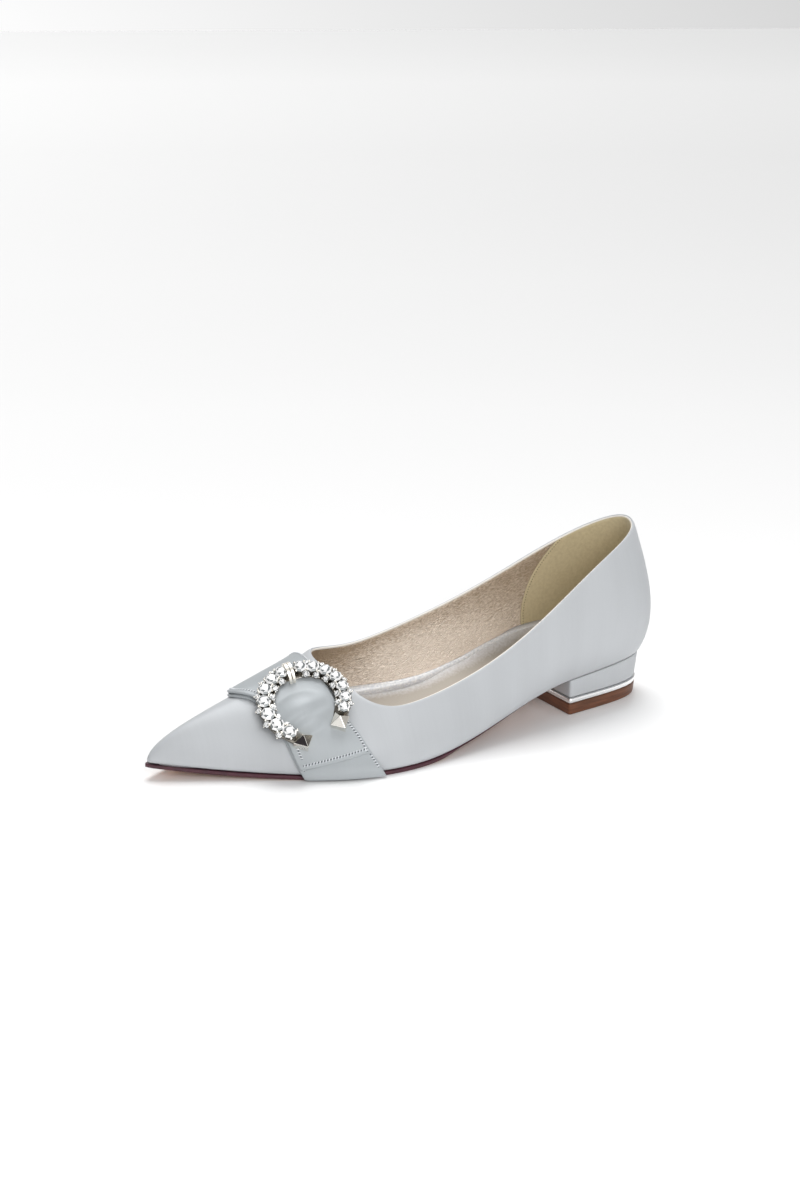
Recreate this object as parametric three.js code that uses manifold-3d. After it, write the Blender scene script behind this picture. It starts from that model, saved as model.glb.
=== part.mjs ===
// A left-foot pointed court shoe with a low block heel, a satin strap over the vamp
// and an open ring of crystals on the strap.
// Millimetres, +Z up. The toe points along -X and the outer side of the foot lies towards -Y.
// The origin is on the floor, under the middle of the heel.
import * as THREE from 'three';
import Module from 'manifold-3d';
import { mergeVertices } from 'three/addons/utils/BufferGeometryUtils.js';

const wasm = await Module();
wasm.setup();

// Driving sizes of the last and the floor line
const soleLength = 243.5;
const ballWidth = 80;
const backHeight = 83;
const seatBack = 25;
const seatHeight = 20;
const seatSlope = 0.074;
const heelLength = 49.8;
const toeSpring = 5.6;
const archLift = 6;
const archReach = 0.3;
const flatFrontShare = 0.71;
const flatBackShare = 0.585;

// Walls, layers and the gap between neighbouring pieces
const upperWall = 1.6;
const toePlaces = 1;
const toeDraw = 0.35;
const lipSharpness = 7;
const soleThickness = 1.4;
const insoleThickness = 2.6;
const insoleGap = 0.5;
const insoleEnd = 0.15;
const insoleToeEnd = 0.7;
const rimSharpness = 4;
const strapLayer = 0.8;
const pieceGap = 0.3;

// How far the sole stands out at the forefoot and is tucked in at the waist
const soleStep = 0.3;
const soleTuck = 1.2;
const soleClearance = 0.5;

// The heel, from the floor up, and how it narrows
const liftHeight = 5.2;
const bandHeight = 2.1;
const heelRake = 0.13;
const heelCorner = 1.6;
const blockInset = 0.6;

// The strap: its lower edge, the cover's inset from the base, and the cover's squared end
const strapFoot = 0.6;
const coverInset = 0.8;
const coverEndAlong = 0.768;
const coverEndRise = 5.5;
const coverEndSlope = 0.2;
const girthShare = -0.025;
const girthHeight = 4;

// The ring: its place on the forefoot, the way it faces, its bar and its ends
const ringAlong = 0.7425;
const ringGirth = 60;
const ringPitch = 18;
const ringRoll = 35;
const ringRadius = 16.8;
const ringGapAngle = -95;
const ringGapHalf = 40;
const ringHalfWidth = 3.3;
const ringHeight = 1.8;
const ringBevel = 0.5;
const ringRoot = 1.6;
const bendPasses = 12;
const cuffAfter = 7;
const cuffRoom = 3.2;
const cuffWidth = 2.4;
const cuffWall = 0.8;
const spikeSize = 5.6;
const spikeBase = 1.4;
const spikeHeight = 3;

// The crystals
const stoneCount = 14;
const stoneTaper = 0.81;
const stoneSpacing = 0.39;
const stoneSides = 8;

// The fan that cuts the strap out of the upper's form: its core and how its rings widen
const girthCoreShare = 0.2;
const fanGrowth = 1.22;
const fanRings = 6;
const fanSteps = 28;

// How finely the forms are divided
const rowsBetween = 3;
const stepsUp = 10;
const ringSteps = 28;
const soleRows = 28;
const seatRows = 7;
const soleColumns = 8;
const heelSideSteps = 13;
const heelCornerSteps = 3;
const searchPasses = 40;
const nearStep = 0.02;

const seatFront = seatBack - heelLength;
const toeTip = seatBack - soleLength;
const floorSeat = soleThickness + pieceGap;

// One row for each section round the foot, from the middle of the counter to the toe tip.
// along and topAlong are shares of the sole's length, measured forward from the seat's back edge.
// outer and inner are half widths of the sole, topOuter and topInner those of the topline,
// all as shares of the ball width. outerTop and innerTop are shares of the back height.
const sectionColumns = [
  'along', 'outer', 'inner', 'topAlong', 'topOuter', 'topInner', 'outerTop', 'innerTop',
];
const sectionRows = [
  [-0.010, -0.006, 0.006, 0.017, 0.000, 0.000, 1.004, 1.004],
  [0.003, 0.110, 0.124, 0.031, 0.122, 0.108, 0.984, 0.980],
  [0.037, 0.192, 0.214, 0.062, 0.204, 0.184, 0.952, 0.936],
  [0.094, 0.231, 0.260, 0.103, 0.253, 0.229, 0.904, 0.884],
  [0.152, 0.254, 0.269, 0.164, 0.288, 0.263, 0.813, 0.806],
  [0.218, 0.275, 0.265, 0.246, 0.331, 0.306, 0.668, 0.683],
  [0.296, 0.325, 0.252, 0.333, 0.369, 0.344, 0.522, 0.570],
  [0.374, 0.388, 0.250, 0.415, 0.388, 0.362, 0.418, 0.494],
  [0.456, 0.454, 0.288, 0.493, 0.398, 0.375, 0.350, 0.432],
  [0.542, 0.504, 0.369, 0.554, 0.402, 0.375, 0.316, 0.406],
  [0.628, 0.522, 0.444, 0.600, 0.394, 0.359, 0.305, 0.422],
  [0.706, 0.460, 0.456, 0.632, 0.348, 0.325, 0.330, 0.442],
  [0.772, 0.354, 0.394, 0.649, 0.275, 0.269, 0.366, 0.458],
  [0.846, 0.216, 0.300, 0.660, 0.195, 0.200, 0.408, 0.465],
  [0.920, 0.083, 0.194, 0.668, 0.113, 0.131, 0.436, 0.467],
  [0.982, -0.022, 0.108, 0.671, 0.044, 0.062, 0.452, 0.466],
  [1.008, -0.066, 0.066, 0.671, -0.006, 0.006, 0.461, 0.461],
];

// How the wall bends between sole and topline, at chosen sections of the table above.
// lean and turn are the wall's angles over the floor at the sole and at the topline, in degrees.
// low and high are the reach of those two bends, as shares of the straight line between the edges.
// lip is how far the throat's edge turns up, as a share of the back height.
const bendColumns = ['section', 'lean', 'turn', 'low', 'high', 'lip'];
const bendRows = [
  [0, 60, 74, 0.34, 0.33, 0],
  [3, 60, 70, 0.33, 0.33, 0],
  [6, 56, 80, 0.36, 0.33, 0],
  [8, 66, 74, 0.36, 0.33, 0],
  [10, 82, 60, 0.38, 0.33, 0.006],
  [11, 84, 42, 0.36, 0.34, 0.016],
  [12, 85, 28, 0.32, 0.36, 0.026],
  [13, 86, 17, 0.25, 0.36, 0.028],
  [14, 86, 10, 0.19, 0.38, 0.028],
  [16, 84, 5, 0.13, 0.42, 0.028],
];

function readTable(columns, rows) {
  return rows.map((row) => Object.fromEntries(columns.map((name, index) => [name, row[index]])));
}

const sections = readTable(sectionColumns, sectionRows);
const bends = readTable(bendColumns, bendRows);
const lastSection = sections.length - 1;
const loopCount = 2 * lastSection;

function bendAt(index, name) {
  const after = Math.max(1, bends.findIndex((row) => row.section >= index));
  const low = bends[after - 1];
  const high = bends[after];
  const share = (index - low.section) / (high.section - low.section);
  return THREE.MathUtils.lerp(low[name], high[name], share);
}

// Height of the upper's lower edge over the floor: toe spring, flat tread, arch and heel seat.
function bottomHeight(x, y) {
  const flatFront = seatBack - flatFrontShare * soleLength;
  const flatBack = seatBack - flatBackShare * soleLength;
  if (x < flatFront) {
    return floorSeat + toeSpring * ((flatFront - x) / (flatFront - toeTip)) ** 2;
  }
  if (x < flatBack) {
    return floorSeat;
  }
  const breastHeight = seatHeight - seatSlope * heelLength;
  if (x > seatFront) {
    return breastHeight + seatSlope * (x - seatFront);
  }
  const run = seatFront - flatBack;
  const s = (x - flatBack) / run;
  const rise = (breastHeight - floorSeat) * s * s * (3 - 2 * s);
  const slopeIn = seatSlope * run * s * s * (s - 1);
  const inner = THREE.MathUtils.clamp(y / (archReach * ballWidth), 0, 1);
  return floorSeat + rise + slopeIn + archLift * Math.sin(Math.PI * s) ** 2 * inner * inner;
}

// The loop runs from the counter along the outer side to the toe and back along the inner side.
function loopRow(index) {
  const place = (index + loopCount) % loopCount;
  const onOuter = place <= lastSection;
  const number = onOuter ? place : loopCount - place;
  const row = sections[number];
  const side = onOuter ? -1 : 1;
  return {
    x: seatBack - row.along * soleLength,
    y: side * (onOuter ? row.outer : row.inner) * ballWidth,
    topX: seatBack - row.topAlong * soleLength,
    topY: side * (onOuter ? row.topOuter : row.topInner) * ballWidth,
    topZ: (onOuter ? row.outerTop : row.innerTop) * backHeight,
    lean: bendAt(number, 'lean'),
    turn: bendAt(number, 'turn'),
    low: bendAt(number, 'low'),
    high: bendAt(number, 'high'),
    lip: bendAt(number, 'lip') * backHeight,
  };
}

const loop = Array.from({ length: loopCount }, (unused, index) => loopRow(index));

// A smooth closed curve guided by the rows, at a place counted in rows.
function loopValue(name, place) {
  const first = Math.floor(place);
  const f = place - first;
  const weights = [
    (1 - f) ** 3,
    3 * f ** 3 - 6 * f ** 2 + 4,
    -3 * f ** 3 + 3 * f ** 2 + 3 * f + 1,
    f ** 3,
  ];
  let total = 0;
  weights.forEach((weight, step) => {
    total += weight * loop[(first + step - 1 + 2 * loopCount) % loopCount][name];
  });
  return total / 6;
}

function edgePoint(place) {
  const x = loopValue('x', place);
  const y = loopValue('y', place);
  return new THREE.Vector3(x, y, bottomHeight(x, y));
}

function topPoint(place) {
  const [x, y, z] = ['topX', 'topY', 'topZ'].map((name) => loopValue(name, place));
  return new THREE.Vector3(x, y, z);
}

// The level direction that points out of a loop.
function outwardOf(curve, place) {
  const run = curve(place + nearStep).sub(curve(place - nearStep));
  return new THREE.Vector3(-run.y, run.x, 0).normalize();
}

function edgeOutward(place) {
  return outwardOf(edgePoint, place);
}

function bent(level, degrees) {
  const angle = THREE.MathUtils.degToRad(degrees);
  return level.multiplyScalar(Math.cos(angle)).add(new THREE.Vector3(0, 0, Math.sin(angle)));
}

// A point of the upper's outer face. share runs from 0 at the sole to 1 at the topline.
function facePoint(place, share) {
  const from = edgePoint(place);
  const lip = loopValue('lip', place);
  const to = topPoint(place);
  to.z -= lip;
  const chord = from.distanceTo(to);
  const rise = bent(edgeOutward(place), loopValue('lean', place));
  const close = bent(outwardOf(topPoint, place).negate(), loopValue('turn', place));
  const lowHandle = from.clone().addScaledVector(rise, loopValue('low', place) * chord);
  const highHandle = to.clone().addScaledVector(close, -loopValue('high', place) * chord);
  const point = new THREE.CubicBezierCurve3(from, lowHandle, highHandle, to).getPoint(share);
  point.z += lip * share ** lipSharpness;
  return point;
}

function faceNormal(place, share) {
  const low = Math.max(0, share - nearStep);
  const high = Math.min(1, share + nearStep);
  const around = facePoint(place + nearStep, share).sub(facePoint(place - nearStep, share));
  const up = facePoint(place, high).sub(facePoint(place, low));
  return up.cross(around).normalize();
}

// The same face moved out by lift, or in where lift is negative. Its lower edge stays level.
function liftedPoint(place, share, lift) {
  if (share === 0) {
    return edgePoint(place).addScaledVector(edgeOutward(place), lift);
  }
  return facePoint(place, share).addScaledVector(faceNormal(place, share), lift);
}

// Mesh building
function solidFromFaces(points, faces) {
  const geometry = new THREE.BufferGeometry();
  const places = points.flatMap((point) => [point.x, point.y, point.z]);
  geometry.setAttribute('position', new THREE.Float32BufferAttribute(places, 3));
  geometry.setIndex(faces.flat());
  return tidy(geometry);
}

function tidy(geometry) {
  geometry.deleteAttribute('normal');
  geometry.deleteAttribute('uv');
  const merged = mergeVertices(geometry, 1e-4);
  const index = merged.index.array;
  const kept = [];
  for (let i = 0; i < index.length; i += 3) {
    const [a, b, c] = index.slice(i, i + 3);
    if (a !== b && b !== c && c !== a) {
      kept.push(a, b, c);
    }
  }
  merged.setIndex(kept);
  return merged;
}

// Quads over a grid of points, each row a list. wrapRows and wrapColumns close it on itself.
function gridFaces(rows, columns, wrapRows, wrapColumns) {
  const faces = [];
  for (let i = 0; i < rows - (wrapRows ? 0 : 1); i += 1) {
    for (let j = 0; j < columns - (wrapColumns ? 0 : 1); j += 1) {
      const a = i * columns + j;
      const b = i * columns + ((j + 1) % columns);
      const c = ((i + 1) % rows) * columns + ((j + 1) % columns);
      const d = ((i + 1) % rows) * columns + j;
      faces.push([a, b, c], [a, c, d]);
    }
  }
  return faces;
}

const placesRound = rowsBetween * loopCount;

function placeOf(step) {
  return (step * loopCount) / placesRound;
}

// A point of the upper's inner face. Low in the toe the places are drawn back from the tip, so that
// the inner face ends bluntly in front of them.
function innerPoint(place, share) {
  const side = place > lastSection ? -1 : 1;
  const number = side > 0 ? place : loopCount - place;
  const nearTip = THREE.MathUtils.clamp(1 - (lastSection - number) / toePlaces, 0, 1);
  const drawn = number - toeDraw * (nearTip * (1 - share)) ** 2;
  const point = liftedPoint(side * drawn, share, -upperWall);
  if (number < lastSection) {
    return point;
  }
  return point.lerp(liftedPoint(-side * drawn, share, -upperWall), 0.5);
}

function upperGeometry() {
  const points = [];
  for (let i = 0; i < placesRound; i += 1) {
    for (let j = 0; j <= stepsUp; j += 1) {
      points.push(liftedPoint(placeOf(i), j / stepsUp, 0));
    }
    for (let j = stepsUp; j >= 0; j -= 1) {
      points.push(innerPoint(placeOf(i), j / stepsUp));
    }
  }
  return solidFromFaces(points, gridFaces(placesRound, 2 * (stepsUp + 1), true, true));
}

// The place on the outer side where the sole's edge is at a given x.
function placeAt(x) {
  let low = 0;
  let high = lastSection;
  for (let pass = 0; pass < searchPasses; pass += 1) {
    const middle = (low + high) / 2;
    if (loopValue('x', middle) > x) {
      low = middle;
    } else {
      high = middle;
    }
  }
  return low;
}

// The places of the lines across the foot, which outsole and insole share in front of the heel.
const breastPlace = placeAt(seatFront - pieceGap);
const soleLines = Array.from({ length: soleRows + 1 }, (unused, i) => (
  THREE.MathUtils.lerp(breastPlace, lastSection, i / soleRows)
));
const seatLines = Array.from({ length: seatRows }, (unused, i) => (
  THREE.MathUtils.lerp(insoleEnd, breastPlace, i / seatRows)
));

// Closes a run of flat sections, each a cover line and the line under it read backwards.
function capped(points, rows, across) {
  const columns = 2 * (across + 1);
  const faces = gridFaces(rows + 1, columns, false, true);
  for (const row of [0, rows]) {
    for (let j = 0; j < across; j += 1) {
      const a = row * columns + j;
      const b = a + 1;
      const c = row * columns + columns - 2 - j;
      const d = row * columns + columns - 1 - j;
      faces.push(...(row === 0 ? [[a, c, b], [a, d, c]] : [[a, b, c], [a, c, d]]));
    }
  }
  return solidFromFaces(points, faces);
}

// The sole stands out a little round the forefoot and is tucked in under the waist.
function soleMargin(place) {
  const x = loopValue('x', place);
  const waist = THREE.MathUtils.smoothstep(x, seatBack - flatBackShare * soleLength, seatFront);
  return THREE.MathUtils.lerp(soleStep, -soleTuck, waist);
}

function outsoleGeometry() {
  const points = [];
  for (const place of soleLines) {
    const margin = soleMargin(place);
    const outer = edgePoint(place).addScaledVector(edgeOutward(place), margin);
    const inner = edgePoint(-place).addScaledVector(edgeOutward(-place), margin);
    const cover = [];
    for (let j = 0; j <= soleColumns; j += 1) {
      const point = outer.clone().lerp(inner, j / soleColumns);
      cover.push(point.setZ(bottomHeight(point.x, point.y) - pieceGap));
    }
    const under = cover.map((point) => point.clone().setZ(point.z - soleThickness));
    points.push(...cover, ...under.reverse());
  }
  return capped(points, soleRows, soleColumns);
}

// The insole is a soft dished sock whose rim is turned up against the wall.
// along is a share of the sole's length from the seat's back edge, rise a share of the seat height.
const rimColumns = ['along', 'rise'];
const rimRows = [
  [0.00, 0.45],
  [0.10, 0.64],
  [0.19, 0.68],
  [0.26, 0.47],
  [0.34, 0.27],
  [0.44, 0.12],
  [0.50, 0.26],
  [0.55, 0.50],
  [0.64, 0.50],
  [0.80, 0.18],
  [1.00, 0.13],
];
const rimTable = readTable(rimColumns, rimRows);

function rimRise(x) {
  const along = THREE.MathUtils.clamp((seatBack - x) / soleLength, 0, 0.999);
  const after = rimTable.findIndex((row) => row.along > along);
  const low = rimTable[after - 1];
  const high = rimTable[after];
  const share = THREE.MathUtils.smoothstep(along, low.along, high.along);
  return seatHeight * THREE.MathUtils.lerp(low.rise, high.rise, share);
}

// The place on the wall's inner side at a height above the sole.
function wallPoint(place, rise, lift) {
  const foot = liftedPoint(place, 0, lift);
  let low = 0;
  let high = 0.5;
  for (let pass = 0; pass < searchPasses; pass += 1) {
    const middle = (low + high) / 2;
    if (liftedPoint(place, middle, lift).z - foot.z < rise) {
      low = middle;
    } else {
      high = middle;
    }
  }
  return liftedPoint(place, low, lift);
}

function insoleGeometry() {
  const lift = -upperWall - insoleGap;
  const points = [];
  const lines = [...seatLines, ...soleLines.filter((place) => place < lastSection - insoleToeEnd)];
  for (const place of lines) {
    const outer = liftedPoint(place, 0, lift);
    const inner = liftedPoint(-place, 0, lift);
    const rise = rimRise(outer.x);
    const apart = THREE.MathUtils.smoothstep(place, insoleEnd, breastPlace);
    const outerRim = wallPoint(place, rise, lift);
    const innerRim = wallPoint(-place, rise, lift);
    const cover = [];
    const line = [];
    for (let j = 0; j <= soleColumns; j += 1) {
      const share = j / soleColumns;
      const point = outer.clone().lerp(inner, share);
      point.z = bottomHeight(point.x, point.y);
      line.push(point);
      const above = outerRim.clone().lerp(innerRim, share);
      const floor = point.clone().lerp(above, apart).setY(above.y);
      floor.z = bottomHeight(floor.x, floor.y) + insoleThickness;
      cover.push(floor.lerp(above, Math.abs(2 * share - 1) ** rimSharpness));
    }
    points.push(...cover, ...line.reverse());
  }
  return capped(points, lines.length - 1, soleColumns);
}

// The heel in plan, from the outer breast corner round the back to the inner one, then the breast.
// down is the height below the seat, which draws the back forward, and inset moves the outline in.
function heelOutline(down, inset) {
  const front = placeAt(seatFront);
  const side = [];
  for (let i = -heelSideSteps; i <= heelSideSteps; i += 1) {
    const place = (-i * front) / heelSideSteps;
    const point = edgePoint(place).addScaledVector(edgeOutward(place), -inset);
    point.x = seatFront + (point.x - seatFront) * (1 - (down * heelRake) / heelLength);
    side.push(point);
  }
  side[0].x = seatFront + inset;
  side[side.length - 1].x = seatFront + inset;
  const corner = (end, next) => {
    const back = end.clone().sub(next).setZ(0).normalize();
    const alongSide = end.clone().addScaledVector(back, -heelCorner);
    const alongBreast = end.clone().setY(end.y - Math.sign(end.y) * heelCorner);
    const bend = new THREE.QuadraticBezierCurve3(alongSide, end, alongBreast);
    return bend.getPoints(heelCornerSteps);
  };
  const first = corner(side[0], side[1]);
  const last = corner(side[side.length - 1], side[side.length - 2]);
  return [...first.reverse(), ...side.slice(1, -1), ...last];
}

// A solid between two outlines with as many points, the lower one given first.
function loftGeometry(lower, upper) {
  const count = lower.length;
  const flat = lower.map((point) => new THREE.Vector2(point.x, point.y));
  const lid = THREE.ShapeUtils.triangulateShape(flat, []);
  const faces = lid.map(([a, b, c]) => [a + count, b + count, c + count]);
  faces.push(...lid.map(([a, b, c]) => [a, c, b]));
  for (let i = 0; i < count; i += 1) {
    const next = (i + 1) % count;
    faces.push([i, next, next + count], [i, next + count, i + count]);
  }
  return solidFromFaces([...lower, ...upper], faces);
}

function heelSlice(low, high, inset) {
  const level = (height) => {
    const outline = heelOutline(seatHeight - height, inset);
    return outline.map((point) => point.setZ(height));
  };
  return loftGeometry(level(low), level(high));
}

function heelBlockGeometry() {
  const foot = liftHeight + bandHeight + 2 * pieceGap;
  const lower = heelOutline(seatHeight - foot, blockInset).map((point) => point.setZ(foot));
  const upper = heelOutline(0, blockInset).map((point) => (
    point.setZ(bottomHeight(point.x, 0) - pieceGap)
  ));
  return loftGeometry(lower, upper);
}

// Joining and cutting of closed meshes
function toSolid(geometry) {
  const vertProperties = new Float32Array(geometry.attributes.position.array);
  return new wasm.Manifold(new wasm.Mesh({
    numProp: 3,
    vertProperties,
    triVerts: new Uint32Array(geometry.index.array),
  }));
}

function toGeometry(solid) {
  const mesh = solid.getMesh();
  const geometry = new THREE.BufferGeometry();
  const places = new Float32Array(mesh.vertProperties);
  geometry.setAttribute('position', new THREE.BufferAttribute(places, 3));
  geometry.setIndex(Array.from(mesh.triVerts));
  return geometry;
}

// The upper's outer form as a closed body, moved out by lift and carried down past the sole's edge.
const crownShare = 0.6;

function closedForm(lift, skirtLift, skirtHeight) {
  const points = [];
  const columns = stepsUp + 2;
  for (let i = 0; i < placesRound; i += 1) {
    const place = placeOf(i);
    points.push(edgePoint(place).addScaledVector(edgeOutward(place), skirtLift).setZ(skirtHeight));
    for (let j = 0; j <= stepsUp; j += 1) {
      points.push(liftedPoint(place, j / stepsUp, lift));
    }
  }
  const faces = gridFaces(placesRound, columns, true, false);
  const middle = (toeTip + seatBack) / 4;
  const bottom = points.push(new THREE.Vector3(middle, 0, skirtHeight)) - 1;
  const top = points.push(new THREE.Vector3(middle, 0, crownShare * backHeight)) - 1;
  for (let i = 0; i < placesRound; i += 1) {
    const next = (i + 1) % placesRound;
    faces.push([bottom, i * columns, next * columns]);
    faces.push([top, next * columns + columns - 1, i * columns + columns - 1]);
  }
  return toSolid(solidFromFaces(points, faces));
}

// The strap's edges, for each angle round a line that runs along inside the forefoot.
// girth is that angle in degrees, from the outer side over the top to the inner side.
// front and rear are shares of the sole's length, measured forward from the seat's back edge.
const strapColumns = ['girth', 'front', 'rear'];
const strapRows = [
  [-12, 0.768, 0.640],
  [-4, 0.774, 0.644],
  [12, 0.785, 0.665],
  [23, 0.789, 0.674],
  [36, 0.793, 0.683],
  [60, 0.801, 0.690],
  [84, 0.812, 0.690],
  [104, 0.836, 0.684],
  [120, 0.832, 0.677],
  [140, 0.812, 0.668],
  [165, 0.780, 0.655],
  [195, 0.752, 0.636],
];
const strapTable = readTable(strapColumns, strapRows);

// A fan of sections round that line, cut to the strap's edges and reaching well past the upper.
function strapFan(inset) {
  const curve = (name) => new THREE.SplineCurve(strapTable.map((row) => (
    new THREE.Vector2(row.girth, seatBack - row[name] * soleLength)
  )));
  const front = curve('front').getPoints(fanSteps);
  const rear = curve('rear').getPoints(fanSteps);
  const points = [];
  for (let i = 0; i <= fanSteps; i += 1) {
    const angle = THREE.MathUtils.degToRad(front[i].x);
    const spoke = new THREE.Vector3(0, -Math.cos(angle), Math.sin(angle));
    const centre = new THREE.Vector3(0, girthShare * ballWidth, girthHeight);
    const edge = (x) => Array.from({ length: fanRings + 1 }, (unused, ring) => (
      centre.clone().addScaledVector(spoke, girthCoreShare * ballWidth * fanGrowth ** ring).setX(x)
    ));
    points.push(...edge(front[i].y + inset), ...edge(rear[i].y - inset).reverse());
  }
  return toSolid(capped(points, fanSteps, fanRings));
}

function strapLayerSolid(lift, inset) {
  const outer = closedForm(lift + strapLayer, lift + strapLayer, strapFoot);
  const inner = closedForm(lift, Math.max(lift, soleStep + soleClearance), strapFoot - 1);
  return outer.subtract(inner).intersect(strapFan(inset));
}

const baseLift = pieceGap;
const coverLift = baseLift + strapLayer + pieceGap;

// The cover layer ends squarely above the sole on the outer side.
function coverEndCutter() {
  const reach = ballWidth;
  const corner = seatBack - coverEndAlong * soleLength;
  const heightAt = (x) => coverEndRise + coverEndSlope * (x - corner);
  const left = corner - reach;
  const right = corner + reach;
  const shape = new THREE.Shape([
    new THREE.Vector2(left, -reach),
    new THREE.Vector2(right, -reach),
    new THREE.Vector2(right, heightAt(right)),
    new THREE.Vector2(left, heightAt(left)),
  ]);
  const geometry = new THREE.ExtrudeGeometry(shape, { depth: reach, bevelEnabled: false });
  geometry.rotateX(Math.PI / 2);
  return toSolid(tidy(geometry));
}

function strapCoverGeometry() {
  return toGeometry(strapLayerSolid(coverLift, coverInset).subtract(coverEndCutter()));
}

const coverTop = coverLift + strapLayer;

// The ring lies on the strap and is bent gently to it. Its own plane is set by a centre on the
// girth of the forefoot and by the way it faces.
function ringPlane() {
  const girth = THREE.MathUtils.degToRad(ringGirth);
  const spoke = new THREE.Vector3(0, -Math.cos(girth), Math.sin(girth));
  const along = seatBack - ringAlong * soleLength;
  const core = new THREE.Vector3(along, girthShare * ballWidth, girthHeight);
  const normal = new THREE.Vector3(
    -Math.sin(THREE.MathUtils.degToRad(ringPitch)),
    -Math.sin(THREE.MathUtils.degToRad(ringRoll)),
    1,
  ).normalize();
  const forward = new THREE.Vector3(0, 1, 0).cross(normal).normalize();
  return { core, spoke, normal, forward, upward: normal.clone().cross(forward) };
}

function hitFrom(origin, direction, geometry) {
  const mesh = new THREE.Mesh(geometry, new THREE.MeshBasicMaterial({ side: THREE.DoubleSide }));
  const hits = new THREE.Raycaster(origin, direction).intersectObject(mesh);
  return hits[0].point;
}

const ringSeat = toGeometry(closedForm(coverTop, coverTop, strapFoot));
const ringClear = closedForm(coverTop + pieceGap, coverTop + pieceGap, strapFoot);
const plane = ringPlane();
const ringOverhead = plane.core.clone().addScaledVector(plane.spoke, ballWidth);
const ringCentre = hitFrom(ringOverhead, plane.spoke.clone().negate(), ringSeat);

const ringStart = THREE.MathUtils.degToRad(ringGapAngle + ringGapHalf);
const ringEnd = THREE.MathUtils.degToRad(ringGapAngle + 360 - ringGapHalf);

// Points of the ring's middle line on the strap, smoothed as one gentle bend.
function ringLine() {
  const overhead = ballWidth;
  const heights = [];
  const flats = [];
  for (let i = 0; i <= ringSteps; i += 1) {
    const angle = THREE.MathUtils.lerp(ringStart, ringEnd, i / ringSteps);
    const flat = ringCentre.clone();
    flat.addScaledVector(plane.forward, ringRadius * Math.cos(angle));
    flat.addScaledVector(plane.upward, ringRadius * Math.sin(angle));
    const origin = flat.clone().addScaledVector(plane.normal, overhead);
    const hit = hitFrom(origin, plane.normal.clone().negate(), ringSeat);
    heights.push(overhead - origin.distanceTo(hit));
    flats.push(flat);
  }
  let bend = heights;
  for (let pass = 0; pass < bendPasses; pass += 1) {
    bend = bend.map((height, i) => {
      const before = bend[Math.max(0, i - 1)];
      const after = bend[Math.min(ringSteps, i + 1)];
      return (before + 2 * height + after) / 4;
    });
  }
  return new THREE.CatmullRomCurve3(flats.map((flat, i) => (
    flat.addScaledVector(plane.normal, bend[i])
  )));
}

const ringCurve = ringLine();
const ringLength = ringCurve.getLength();

// A place on the ring, at a distance from its start, with its own directions.
function ringFrame(distance) {
  const share = THREE.MathUtils.clamp(distance / ringLength, 0, 1);
  const point = ringCurve.getPointAt(share);
  const tangent = ringCurve.getTangentAt(share);
  const side = plane.normal.clone().cross(tangent).normalize();
  const up = tangent.clone().cross(side).normalize();
  return { point, tangent, side, up };
}

function inFrame(frame, along, aside, above) {
  return frame.point.clone()
    .addScaledVector(frame.tangent, along)
    .addScaledVector(frame.side, aside)
    .addScaledVector(frame.up, above);
}

// A bar that follows the ring between two distances. Its top edges are bevelled.
function ringBar({ from, to, halfWidth, top, root, steps }) {
  const points = [];
  for (let i = 0; i <= steps; i += 1) {
    const frame = ringFrame(THREE.MathUtils.lerp(from, to, i / steps));
    const cover = [
      [halfWidth, top - ringBevel],
      [halfWidth - ringBevel, top],
      [-halfWidth + ringBevel, top],
      [-halfWidth, top - ringBevel],
    ];
    const under = cover.map(([aside]) => [aside, -root]).reverse();
    points.push(...[...cover, ...under].map(([aside, above]) => inFrame(frame, 0, aside, above)));
  }
  return toSolid(capped(points, steps, 3));
}

function ringBodyGeometry() {
  const bar = ringBar({
    from: 0,
    to: ringLength,
    halfWidth: ringHalfWidth,
    top: ringHeight,
    root: ringRoot,
    steps: ringSteps,
  });
  return toGeometry(bar.subtract(ringClear));
}

// Stones fill the ring from end to end, largest by the outer end, with room for the cuff between.
function stoneRow() {
  const shares = Array.from({ length: stoneCount }, (unused, i) => (
    THREE.MathUtils.lerp(stoneTaper, 1, i / (stoneCount - 1))
  ));
  const total = shares.reduce((sum, share) => sum + share, 0);
  const largest = (ringLength - cuffRoom - stoneCount * stoneSpacing) / total;
  let distance = 0;
  return shares.map((share, i) => {
    const size = share * largest;
    const room = size + stoneSpacing;
    const middle = distance + room / 2;
    distance += room + (i === cuffAfter - 1 ? cuffRoom : 0);
    return { size, middle, end: middle + room / 2 };
  });
}

const stones = stoneRow();
const cuffMiddle = stones[cuffAfter - 1].end + cuffRoom / 2;

function cuffGeometry() {
  const bar = (halfLength, margin, root, steps) => ringBar({
    from: cuffMiddle - halfLength,
    to: cuffMiddle + halfLength,
    halfWidth: ringHalfWidth + margin,
    top: ringHeight + margin,
    root,
    steps,
  });
  const outer = bar(cuffWidth / 2, cuffWall, ringRoot, 2);
  const inner = bar(cuffWidth, pieceGap, ringRoot + cuffWall, 3);
  return toGeometry(outer.subtract(inner).subtract(ringClear));
}

// A round cut stone: flat foot, sloping sides, a girdle, a bevelled crown and a flat table.
// reach and rise are shares of the stone's width.
const stoneColumns = ['reach', 'rise'];
const stoneRows = [
  [0.225, 0],
  [0.50, 0.38],
  [0.29, 0.62],
];
const stoneProfile = readTable(stoneColumns, stoneRows);

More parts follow.
